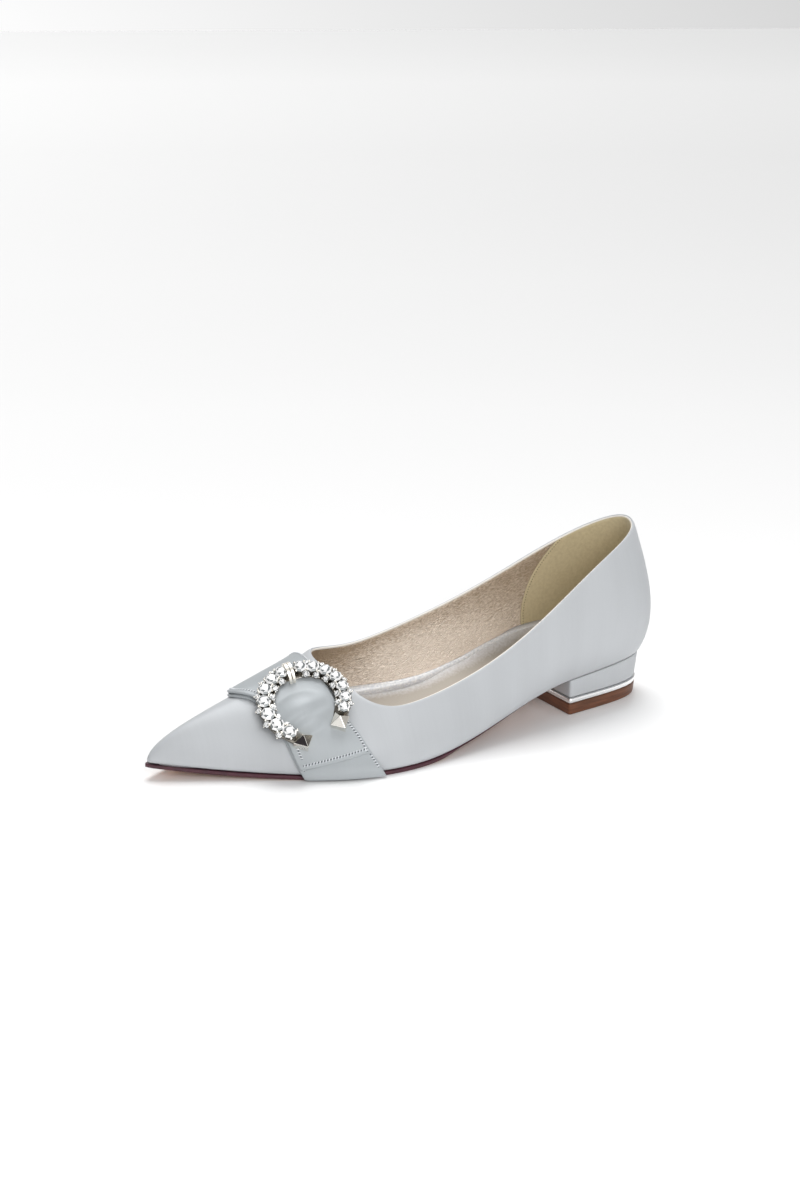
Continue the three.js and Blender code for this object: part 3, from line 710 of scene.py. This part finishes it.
heel_slice("heel_block", "heel_cover", satin, edge_round=0.6 * MM, cloth=True)
heel_slice("heel_band", "plated_band", band_plate, edge_round=0.25 * MM)
heel_slice("top_lift", "lift", stack, edge_round=0.4 * MM)

# %% [markdown]
# ## The strap
#
# The strap is a wide band of folded satin in two layers. Its edges are measured at a few angles
# round a line inside the forefoot, from the outer side over the top to the inner side, as shares
# of the sole's length from the seat's back edge. A smooth curve through them gives its outline.

# %% The strap's measure
seat_back = 25.0 * MM
sole_length = 243.5 * MM
strap_rows = [
    # angle, front, rear
    (-12, 0.768, 0.640),
    (-4, 0.774, 0.644),
    (12, 0.785, 0.665),
    (23, 0.789, 0.674),
    (36, 0.793, 0.683),
    (60, 0.801, 0.690),
    (84, 0.812, 0.690),
    (104, 0.836, 0.684),
    (120, 0.832, 0.677),
    (140, 0.812, 0.668),
    (165, 0.780, 0.655),
    (195, 0.752, 0.636),
]


def between(a, b, c, d, t):
    """A smooth curve from b to c that heads on from a and towards d."""
    return b + 0.5 * t * (c - a + t * (2 * a - 5 * b + 4 * c - d + t * (3 * (b - c) + d - a)))


def smooth_line(points, steps):
    """Points at even steps along a smooth curve through the given ones."""
    last = len(points) - 1
    line = []
    for i in range(last):
        near = [points[clamp(i + k, 0, last)] for k in (-1, 0, 1, 2)]
        line += [between(*near, step / steps) for step in range(steps)]
    return line + [points[last]]


station_angles, front_shares, rear_shares = numpy.array(smooth_line(numpy.array(strap_rows), 20)).T
station_fronts = seat_back - sole_length * front_shares
station_rears = seat_back - sole_length * rear_shares
print("strap outline", len(station_angles), "stations")

# %% [markdown]
# ### Finding the upper's outside
#
# A flat band bent over the foot would cut into the upper or stand off it. Rays cast inwards to the
# girth line find the upper's outside, so the band fits the foot. At the sole the band hangs down
# past the edge.

# %% Finding the upper's outside
girth_y = -2.0 * MM
girth_z = 4.0 * MM
sole_overhang = 1.6 * MM
overhang_run = 2.0 * MM
strap_clearance = 0.6 * MM
strap_foot_angle = 1.5
ray_start = 100.0 * MM


def finished_tree(piece):
    """A search tree over a piece as it is shown."""
    return BVHTree.FromObject(piece, shown())


upper_tree = finished_tree(upper)


def outside_at(tree, x, angle):
    """A piece's outside at a place along the shoe and an angle round the girth line, and the
    surface's way out there."""
    turn = math.radians(angle)
    spoke = Vector((0.0, -math.cos(turn), math.sin(turn)))
    centre = Vector((x, girth_y, girth_z))
    place, normal, index, distance = tree.ray_cast(centre + ray_start * spoke, -spoke)
    return place, normal


def strap_surface(x, angle, lift):
    """A point of the strap, lift above the upper, and hanging past the sole's edge at its foot."""
    side = 1.0 if angle < 90.0 else -1.0
    from_side = angle if side > 0 else 180.0 - angle
    lowest = max(from_side, strap_foot_angle)
    place, normal = outside_at(upper_tree, x, lowest if side > 0 else 180.0 - lowest)
    point = place + float(lift) * normal
    if from_side < lowest:
        reach = abs(point.y - girth_y)
        drop = math.tan(math.radians(lowest - from_side)) * reach
        point.z = max(point.z - drop, strap_clearance)
        point.y -= side * sole_overhang * min(drop / overhang_run, 1.0)
    return point


# %% [markdown]
# ### A layer of folded satin
#
# A layer is satin folded round a thin backing, so its edges are closed and soft. It is a grid laid
# on the upper, with rows close to its edges so that they stay crisp, and then gets its thickness.

# %% A layer of folded satin
def edge_share(share):
    """Spreads a share from 0 to 1 so that rows lie close to both edges."""
    steps = [0.0, 0.03, 0.09, 0.22, 0.36, 0.5, 0.64, 0.78, 0.91, 0.97, 1.0]
    return steps[round(share * (len(steps) - 1))]


layer_thickness = 1.2 * MM
outer_end_angle = 10.0


def strap_x(angle, across, inset):
    """The place along the shoe at an angle, across the band from its front to its rear edge."""
    front = numpy.interp(angle, station_angles, station_fronts) + inset
    rear = numpy.interp(angle, station_angles, station_rears) - inset
    return front + (rear - front) * across


def strap_layer(name, node, lift, inset, first_angle, last_angle, shape=None):
    """A layer of folded satin laid on the upper. shape gives a point a rise of its own."""
    form = bmesh.new()
    bmesh.ops.create_grid(form, x_segments=64, y_segments=10, size=0.5)
    for vert in form.verts:
        round_share = vert.co.x + 0.5
        across = edge_share(vert.co.y + 0.5)
        begin = first_angle(strap_x(outer_end_angle, across, inset))
        angle = begin + (last_angle - begin) * round_share
        x = strap_x(angle, across, inset)
        vert.co = strap_surface(x, angle, lift + (shape(x, angle) if shape else 0.0))
    bmesh.ops.recalc_face_normals(form, faces=form.faces)
    form.faces.ensure_lookup_table()
    middle = form.faces[len(form.faces) // 2]
    if middle.normal.dot(middle.calc_center_median() - Vector((ball_x, 0.0, 0.0))) < 0.0:
        bmesh.ops.reverse_faces(form, faces=form.faces)
    bmesh.ops.solidify(form, geom=form.faces, thickness=layer_thickness)
    map_cloth(form)
    return add_piece(form, name, [strap_satin_painted_darker], [node], 2)


# %% [markdown]
# ### The base and the cover
#
# The base is folded under on both sides and caught under the sole. The cover lies on it, ends in a
# square fold above the outer edge and is puffed up inside the ring. A formula shapes the cushion,
# rather than sculpting, because it keeps to the ring's own measures.

# %% The base and the cover
def base_end(x):
    """The angle of the base's end, under the sole's edge on the outer side."""
    return -7.0


ring_middle_x = -159.0 * MM
ring_middle_angle = 51.0
ring_inner_radius = 13.0 * MM
girth_radius = 36.0 * MM
cushion_height = 4.2 * MM
fold_depth = 1.5 * MM
fold_shift = 0.35
fold_slant = 0.45
fold_width = 0.2


def puff(x, angle):
    """The cover's cushion inside the ring, with a soft fold across it. The fold's shift and width
    are shares of the ring's inner radius."""
    along = (x - ring_middle_x) / ring_inner_radius
    round_foot = math.radians(angle - ring_middle_angle) * girth_radius / ring_inner_radius
    inside = max(1.0 - along * along - round_foot * round_foot, 0.0)
    from_fold = round_foot + fold_shift - fold_slant * along
    return (cushion_height - fold_depth * math.exp(-(from_fold / fold_width) ** 2)) * inside


end_height = 6.1 * MM
end_slope = 0.2


def cover_end(x):
    """The angle of the cover's squared end on the outer side, a line that rises to the rear."""
    low = 1.6
    high = 60.0
    for search in range(24):
        angle = 0.5 * (low + high)
        if outside_at(upper_tree, x, angle)[0].z < end_height + end_slope * (x - ring_middle_x):
            low = angle
        else:
            high = angle
    return low


cover_inset = 0.8 * MM
base_strap = strap_layer("strap_under", "strap_base", lift=1.3 * MM, inset=0.0,
                         first_angle=base_end, last_angle=184.5)
cover_strap = strap_layer("strap_over", "strap_cover", lift=2.8 * MM, inset=cover_inset,
                          first_angle=cover_end, last_angle=184.0, shape=puff)

# %% [markdown]
# ## Stitches
#
# Rows of short stitches hold the strap's folded edges and the seam of the counter lining. A row
# could be drawn as a pattern, but thread stands up and catches the light. So a stitch is a small
# stretched ball, set along a line that is found on the piece it is sewn through.

# %% Stitches
def stitch_row(form, line, pitch, length, radius, slant=0.0):
    """Sets stitches along a line of points, each with the surface's way out."""
    due = 0.5 * pitch
    gone = 0.0
    for (point, out), (next_point, next_out) in zip(line, line[1:]):
        step = next_point - point
        while due <= gone + step.length:
            share = (due - gone) / step.length
            up = out.lerp(next_out, share).normalized()
            along = (step - step.dot(up) * up).normalized()
            place = Matrix((along, up.cross(along), up)).transposed().to_4x4()
            place.translation = point.lerp(next_point, share)
            size = Matrix.Rotation(math.radians(slant), 4, "Z")
            size = size @ Matrix.Diagonal((0.5 * length, radius, radius, 1.0))
            bmesh.ops.create_uvsphere(form, u_segments=6, v_segments=4, radius=1.0, matrix=place @ size)
            due += pitch
        gone += step.length


# %% [markdown]
# ### The strap's rows
#
# On the strap the stitches lie aslant, and each row has pulled a groove into the satin. A cut
# groove would need a far finer mesh, so its shade is painted as a thin dark cord sunk under the
# stitches.

# %% The strap's rows
cover_tree = finished_tree(cover_strap)
base_tree = finished_tree(base_strap)


def strap_line(tree, across, inset, first, last):
    """A line along the strap, inset from its front (across 0) or rear (across 1) edge."""
    hits = [outside_at(tree, strap_x(angle, across, inset), angle)
            for angle in numpy.linspace(first, last, 121)]
    return [(place, normal) for place, normal in hits if place is not None]


stitch_form = bmesh.new()
stitch_from_edge = 1.3 * MM
cover_row = cover_inset + stitch_from_edge
stitch_angle = 4.0
groove_radius = 0.55 * MM
groove_sunk = 0.8 * groove_radius


def sew_strap(line):
    """A row of the strap's stitches, which lie aslant."""
    stitch_row(stitch_form, line, pitch=1.3 * MM, length=1.5 * MM, radius=0.3 * MM, slant=60.0)


def groove(name, line):
    """The thin dark line that a row of stitches pulls into the satin, its shade painted on a cord."""
    sunk = [point - groove_sunk * out for point, out in line]
    cord_piece(name, sunk, groove_radius, groove_shade_finish, False)


row_start = 12.0
end_front = strap_x(row_start, 0.0, cover_row)
end_rear = strap_x(row_start, 1.0, cover_row)
end_line = [outside_at(cover_tree, x, cover_end(x) + stitch_angle)
            for x in numpy.linspace(end_front, end_rear, 41)]
sew_strap(end_line)
groove("end_groove", end_line)
rows = [
    # piece name, layer, across, inset, first angle, last angle
    ("cover_groove_front", cover_tree, 0.0, cover_row, row_start, 27.0),
    ("cover_groove_far", cover_tree, 0.0, cover_row, 84.0, 178.0),
    ("cover_groove_rear", cover_tree, 1.0, cover_row, row_start, 52.0),
    ("cover_groove_inner", cover_tree, 1.0, cover_row, 86.0, 178.0),
    ("base_groove_front", base_tree, 0.0, stitch_from_edge, 1.0, 10.0),
    ("base_groove_rear", base_tree, 1.0, stitch_from_edge, 1.0, 10.0),
]
for piece_name, tree, across, inset, first, last in rows:
    line = strap_line(tree, across, inset, first, last)
    sew_strap(line)
    groove(piece_name, line)
add_piece(stitch_form, "strap_stitches", [thread])

# %% [markdown]
# ### The counter's seam
#
# A row of stitches follows the arc that cut the suede, just inside it, on both inner walls. Rays
# cast sideways from the middle of the shoe find its points.

# %% The counter's seam
stitch_from_seam = 1.2 * MM
suede_tree = finished_tree(counter_lining)


def seam_line(side):
    """The counter seam on one inner wall, just behind the suede's edge."""
    starts = [seam_middle + (seam_radius - stitch_from_seam) * seam_spoke(angle)
              for angle in numpy.linspace(132.0, 198.0, 61)]
    hits = [suede_tree.ray_cast(start, Vector((0.0, side, 0.0))) for start in starts]
    return [(place, normal) for place, normal, index, distance in hits if place is not None]


seam_form = bmesh.new()
for side in (1.0, -1.0):
    stitch_row(seam_form, seam_line(side), pitch=1.3 * MM, length=0.8 * MM, radius=0.2 * MM)
add_piece(seam_form, "counter_stitches", [cream_thread])

# %% [markdown]
# ## The ring
#
# The ring is a casting, open towards the outer side. A bar follows the strap, each large crystal
# sits in a cup between four claws, and small crystals fill the corners on both sides of the row.
# The frame's stones give the line: a plane through them gives the way the ring faces, and each
# stone gives a station with its own directions.

# %% The ring's line
stone_names = sorted(name for name in nodes if name.startswith("stone_"))
cup_height = 2.1 * MM
stone_rise_share = 0.31


def middle_of(name):
    """The middle of a frame piece's box."""
    low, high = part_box(name)
    return 0.5 * (Vector(low) + Vector(high))


def plane_normal(points):
    """The upward normal of the plane that fits the points best."""
    cloud = numpy.array(points) - numpy.mean(points, axis=0)
    normal = Vector(numpy.linalg.svd(cloud)[2][2])
    return normal if normal.z > 0 else -normal


def width_of(name):
    """The girdle of a stone is the widest distance across it."""
    corners = numpy.array([vert.co for vert in nodes[name].data.vertices])
    return max(numpy.linalg.norm(corners - corner, axis=1).max() for corner in corners)


stone_middles = [middle_of(name) for name in stone_names]
stone_widths = [width_of(name) for name in stone_names]
ring_normal = plane_normal(stone_middles)


def ring_place(point, ahead):
    """A station of the ring: X runs along it, Y towards its middle and Z up from the strap."""
    tangent = ahead.normalized()
    side = ring_normal.cross(tangent).normalized()
    up = tangent.cross(side).normalized()
    place = Matrix((tangent, side, up)).transposed().to_4x4()
    place.translation = point
    return place


def moved(along, aside, above):
    """A shift in a station's own directions."""
    return Matrix.Translation((along, aside, above))


def places_along(line):
    """A station at each point of a line, turned the way that the line runs there."""
    last = len(line) - 1
    return [ring_place(point, line[min(i + 1, last)] - line[max(i - 1, 0)])
            for i, point in enumerate(line)]


stations = [place @ moved(0.0, 0.0, -cup_height - stone_rise_share * width)
            for place, width in zip(places_along(stone_middles), stone_widths)]


def place_between(number):
    """The station halfway from one stone's station to the next one's."""
    here = stations[number].translation
    following = stations[number + 1].translation
    return ring_place(0.5 * (here + following), following - here)


print("stones", [round(width / MM, 1) for width in stone_widths])
print("ring faces", [round(c, 2) for c in ring_normal])

# %% [markdown]
# ### The cast bar
#
# The bar is the backbone of the casting and hardly shows under the cups. One closed section is
# carried along the line of stations, so the bar follows the strap and turns with the ring.

# %% The cast bar
pyramid_height = 1.9 * MM
bar_end_share = 0.55


def end_place(name):
    """The point on the strap under one of the ring's pyramids."""
    return middle_of(name) - pyramid_height * ring_normal


def sweep(form, line, section):
    """Bridges copies of a closed section, points across and up, along a line on the strap."""
    loops = []
    for place in places_along(line):
        corners = [form.verts.new(place @ Vector((0.0, *corner))) for corner in section]
        loops.append([form.edges.new((corners[k - 1], corners[k])) for k in range(len(corners))])
    for before, after in zip(loops, loops[1:]):
        bmesh.ops.bridge_loops(form, edges=before + after)
    for ends in (loops[0], loops[-1]):
        bmesh.ops.contextual_create(form, geom=ends)
    bmesh.ops.recalc_face_normals(form, faces=form.faces)


ring_points = [station.translation for station in stations]
first_end = ring_points[0].lerp(end_place("ring_spike_inner"), bar_end_share)
last_end = ring_points[-1].lerp(end_place("ring_spike_outer"), bar_end_share)
ring_line = smooth_line([first_end, *ring_points, last_end], 5)
bar_corners = [
    # across the ring and up from the strap, in mm
    (-2.1, -0.2),
    (3.9, -0.2),
    (4.0, 0.9),
    (3.6, 1.2),
    (2.2, 1.4),
    (-1.5, 1.4),
    (-2.1, 0.6),
]
bar_section = [(across * MM, up * MM) for across, up in bar_corners]
bar_form = bmesh.new()
sweep(bar_form, ring_line, bar_section)
# The bar takes the grey painted as shade.
add_piece(bar_form, "cast_bar", [painted_shade_plate], ["ring_bar"], sharp=30.0)

# %% [markdown]
# ### Cutting a crystal
#
# A crystal is cut with a flat table, a crown in two tiers and a deep pavilion, which is foiled.
# Drawing in both ends of a short cone makes all of them. Its crown facets get a painted sparkle
# or a painted shade by a rule that starts afresh for each stone, so that the row sparkles unevenly,
# as a real one does.

# %% Cutting a crystal
crown_width = 0.74
crown_height = 0.26
table_share = 0.62
table_rise = 0.17
point_share = 0.16
pavilion_depth = 0.75
half_facet = 22.5


def cut_crystal(form, place, radius, turn):
    """A brilliant with its girdle round the origin of its place, cut in shares of its radius. turn
    picks which crown facets are painted grey as shade."""
    made = bmesh.ops.create_cone(
        form, cap_ends=True, cap_tris=False, segments=8, radius1=radius,
        radius2=crown_width * radius, depth=crown_height * radius,
        matrix=moved(0.0, 0.0, 0.5 * crown_height * radius))
    whole = set(made["verts"])
    caps = {face for vert in whole for face in vert.link_faces}
    top = max(caps, key=lambda face: face.calc_center_median().z)
    base = min(caps, key=lambda face: face.calc_center_median().z)
    for cap, share, shift, twist in ((top, table_share, table_rise, half_facet),
                                     (base, point_share, -pavilion_depth, 0.0)):
        drawn = bmesh.ops.extrude_face_region(form, geom=[cap])["geom"]
        bmesh.ops.delete(form, geom=[cap], context="FACES_ONLY")
        ends = [item for item in drawn if isinstance(item, bmesh.types.BMVert)]
        bmesh.ops.rotate(form, verts=ends, matrix=Matrix.Rotation(math.radians(twist), 3, "Z"))
        bmesh.ops.scale(form, verts=ends, vec=(share, share, 1.0))
        bmesh.ops.translate(form, verts=ends, vec=(0.0, 0.0, shift * radius))
        whole |= set(ends)
    for face in {face for vert in whole for face in vert.link_faces}:
        centre = face.calc_center_median()
        sector = round(math.degrees(math.atan2(centre.y, centre.x)) / half_facet) + 3 * turn
        tier = 1 if centre.z > crown_height * radius else 0
        crown = 0.01 < face.normal.z < 0.99
        # Painted light: a rule picks the crown facets that get the grey of painted shade.
        grey = crown and (5 * sector + 4 * tier) % 7 < 3 + tier
        face.material_index = 1 if grey or face.normal.z < 0.01 else 0
    bmesh.ops.transform(form, matrix=place, verts=list(whole))


# %% [markdown]
# ### Setting the stones
#
# The large stones stand in deep cups between four claws. The small ones lean outwards in the
# corners, each in a shallow cup with three claws. A claw is bent over the stone so that only its
# round tip shows, and a bead is enough. All sizes are shares of the frame's stones, so the row
# tapers as theirs does.

# %% Cups and claws
def cup(form, place, radius, depth):
    """A tapered cup that stands on the bar and holds a crystal at its lip."""
    made = bmesh.ops.create_cone(
        form, cap_ends=True, cap_tris=False, segments=16, radius1=0.62 * radius, radius2=radius,
        depth=depth, matrix=place @ moved(0.0, 0.0, -0.5 * depth))
    for vert in made["verts"]:
        # A cup's faces take the second finish, the grey painted as shade.
        for face in vert.link_faces:
            face.material_index = 1


def claws_round(form, seat, count, first, radius, rise, size):
    """A number of claw tips round a seat, the first at an angle."""
    for number in range(count):
        turn = Matrix.Rotation(math.radians(first + 360.0 * number / count), 4, "Z")
        bmesh.ops.create_icosphere(form, subdivisions=2, radius=size,
                                   matrix=seat @ turn @ moved(radius, 0.0, rise))


# %% Setting the stones
crystal_form = bmesh.new()
small_form = bmesh.new()
claw_form = bmesh.new()
seat_share = 0.59
girdle_share = 0.36
bar_top = 1.2 * MM
for number, (station, width) in enumerate(zip(stations, stone_widths)):
    radius = seat_share * width
    girdle = cup_height + girdle_share * width
    cup(claw_form, station @ moved(0.0, 0.0, girdle - 0.12 * width), 0.98 * radius, girdle - bar_top)
    seat = station @ moved(0.0, 0.0, girdle)
    cut_crystal(crystal_form, seat, 0.94 * radius, number)
    claws_round(claw_form, seat, 4, 45.0, 0.97 * radius, 0.02 * width, 0.1 * width)

cuff_between = 6
small_rise_share = 0.16
corners = [
    # side, lean in degrees, place aside and radius as shares of the large stones' width
    (1.0, -34.0, 0.6, 0.29),
    (-1.0, 34.0, 0.52, 0.26),
]
for number in range(len(stations) - 1):
    if number == cuff_between:
        continue
    station = place_between(number)
    width = 0.5 * (stone_widths[number] + stone_widths[number + 1])
    for side, lean, aside, share in corners:
        small = share * width
        seat = station @ moved(0.0, side * aside * width, cup_height + small_rise_share * width)
        seat = seat @ Matrix.Rotation(math.radians(lean), 4, "X")
        cut_crystal(small_form, seat, small, 2 * number + (side > 0))
        cup(claw_form, seat @ moved(0.0, 0.0, -0.02 * width), 1.12 * small, 0.36 * width)
        claws_round(claw_form, seat, 3, 30.0, 1.12 * small, 0.01 * width, 0.07 * width)

add_piece(crystal_form, "crystals", [crystal, foil_and_painted_shade], stone_names, sharp=0.0)
add_piece(small_form, "small_crystals", [crystal, foil_and_painted_shade], sharp=0.0)
add_piece(claw_form, "claws_and_cups", [ring_plate, painted_shade_plate], sharp=40.0)

# %% [markdown]
# ### The cuff
#
# A cuff of two thin ridges interrupts the row of crystals. A ridge could be bent from a bar, but a
# small block spun half round the bar's line keeps its section even all the way.

# %% The cuff
def arch(form, place, reach, rise, length, thickness):
    """A ridge that arches over the bar: a small block spun half round the bar's line."""
    before = set(form.verts)
    made = bmesh.ops.create_grid(form, x_segments=1, y_segments=1, size=0.5)
    bmesh.ops.scale(form, verts=made["verts"], vec=(length, thickness, 1.0))
    bmesh.ops.translate(form, verts=made["verts"], vec=(0.0, reach, 0.0))
    face = made["verts"][0].link_faces[0]
    bmesh.ops.spin(form, geom=[face, *face.edges, *face.verts], cent=(0.0, 0.0, 0.0),
                   axis=(1.0, 0.0, 0.0), angle=math.pi, steps=18, use_duplicate=False)
    whole = [vert for vert in form.verts if vert not in before]
    bmesh.ops.scale(form, verts=whole, vec=(1.0, 1.0, rise / reach))
    bmesh.ops.transform(form, matrix=place, verts=whole)


cuff_form = bmesh.new()
for shift in (0.1 * MM, 1.7 * MM):
    ridge_place = place_between(cuff_between) @ moved(shift, 0.3 * MM, 0.2 * MM)
    arch(cuff_form, ridge_place, reach=4.9 * MM, rise=5.6 * MM, length=1.1 * MM, thickness=0.9 * MM)
bmesh.ops.recalc_face_normals(cuff_form, faces=cuff_form.faces)
add_piece(cuff_form, "cuff", [brushed_plate_and_painted_light], ["ring_cuff"], sharp=40.0)

# %% [markdown]
# ### The pyramids
#
# Each end of the bar carries a small four-sided pyramid. It is the frame's own form, a little
# larger, with its edges only just broken. Its sides are painted unlike each other by the way they
# face: some clear, some a painted light in a brushed finish, and two painted dark as reflections of
# shade.

# %% The pyramids
pyramid_growth = 1.12
same_way = 0.95


def pyramid(name, piece_name, facets):
    """One of the ring's ends, with its edges broken. facets gives the sides painted lighter or
    darker, by their directions, each with the number of its finish."""
    form = whole_faced_copy(name)
    bmesh.ops.scale(form, vec=(pyramid_growth,) * 3, verts=form.verts,
                    space=Matrix.Translation(-middle_of(name)))
    round_rims(form, 20.0, 0.1 * MM, 1)
    for face in form.faces:
        for finish_number, direction in facets:
            if face.normal.dot(direction) > same_way:
                face.material_index = finish_number
    finishes = [ring_plate, painted_shade_plate, painted_dark_reflection_plate, brushed_plate_and_painted_light]
    add_piece(form, piece_name, finishes, [name], sharp=0.0)


inner_painted_sides = [
    (3, Vector((-0.72, 0.15, 0.68))),
    (3, Vector((0.33, -0.83, 0.44))),
]
outer_painted_sides = [
    (1, Vector((0.39, -0.82, 0.41))),
    (2, Vector((-0.61, -0.77, 0.18))),
    (3, Vector((-0.68, 0.11, 0.72))),
]
pyramid("ring_spike_inner", "pyramid_inner", inner_painted_sides)
pyramid("ring_spike_outer", "pyramid_outer", outer_painted_sides)

# %% [markdown]
# ## The studio
#
# The camera stands where the photographer's did, and looks at the middle of the shoe. Its turn,
# height, distance and lens come from points of the shoe that were found in the photo.

# %% The camera
def turn_back(made, direction):
    """Turns a camera or a light so that its back is towards a direction."""
    made.rotation_mode = "QUATERNION"
    made.rotation_quaternion = direction.to_track_quat("Z", "Y")


target = Vector((-0.105, 0.005, 0.035))
yaw = math.radians(30.0)
elevation = math.radians(19.1)
distance = 0.8
back = Vector((-math.sin(yaw) * math.cos(elevation), -math.cos(yaw) * math.cos(elevation),
               math.sin(elevation)))
camera_data = bpy.data.cameras.new("camera")
camera_data.sensor_width = 36.0
camera_data.lens = 55.2
camera_data.shift_x = 0.0125
camera_data.shift_y = 0.045
camera_data.clip_start = 0.05
camera = put_in_scene("camera", camera_data)
camera.location = target + back * distance
turn_back(camera, back)
bpy.context.scene.camera = camera

# %% [markdown]
# ### The floor and the light
#
# The shoe stands on a wide white floor with a slight gloss. A large soft light hangs overhead, a
# little behind the shoe, so the tops of the satin glow and their lower sides fall off. A softbox
# at the front fills the outer side. The room's walls are white at the floor and grey overhead, and
# greyer beyond the toe and the heel than along the sides. That turns the satin's ends away from
# the light, and gives metals and crystals something to mirror.

# %% The floor and the light
floor_reach = 40.0
floor_data = bpy.data.meshes.new("floor")
floor_form = bmesh.new()
bmesh.ops.create_grid(floor_form, x_segments=1, y_segments=1, size=floor_reach)
floor_form.to_mesh(floor_data)
floor_form.free()
# A white that mirrors the shoe faintly
floor_data.materials.append(new_finish("floor", "#ffffff", 0.15, Specular_IOR_Level=0.2)[0])
floor = put_in_scene("floor", floor_data)

world = bpy.data.worlds.new("studio")
world.use_nodes = True
bpy.context.scene.world = world
studio = world.node_tree
way = add(studio, "ShaderNodeTexCoord")
split = add(studio, "ShaderNodeSeparateXYZ", links={0: way.outputs["Generated"]})
by_height = add(studio, "ShaderNodeValToRGB", {"stops": [(0.0, "#ffffff"), (0.5, "#b3b3b3")]},
                {"Fac": split.outputs["Z"]})
sideways = add(studio, "ShaderNodeMath", {"operation": "ABSOLUTE"}, {0: split.outputs["X"]})
by_side = add(studio, "ShaderNodeValToRGB", {"stops": [(0.3, "#ffffff"), (0.9, "#bcbcbc")]},
              {"Fac": sideways.outputs["Value"]})
both = add(studio, "ShaderNodeVectorMath", {"operation": "MULTIPLY"},
           {0: by_height.outputs["Color"], 1: by_side.outputs["Color"]})
studio.links.new(both.outputs["Vector"], studio.nodes["Background"].inputs["Color"])
bpy.context.scene.view_settings.view_transform = "Standard"

sun_data = bpy.data.lights.new("overhead", "SUN")
sun_data.energy = 2.0
sun_data.angle = math.radians(35.0)
sun = put_in_scene("overhead", sun_data)
sun_way = Vector((0.2, 0.35, 1.0))
turn_back(sun, sun_way)
key_data = bpy.data.lights.new("front softbox", "AREA")
key_data.size = 0.6
key_data.energy = 5.7
key = put_in_scene("front softbox", key_data)
key.location = (-0.3, -1.05, 0.6)
turn_back(key, key.location - target)
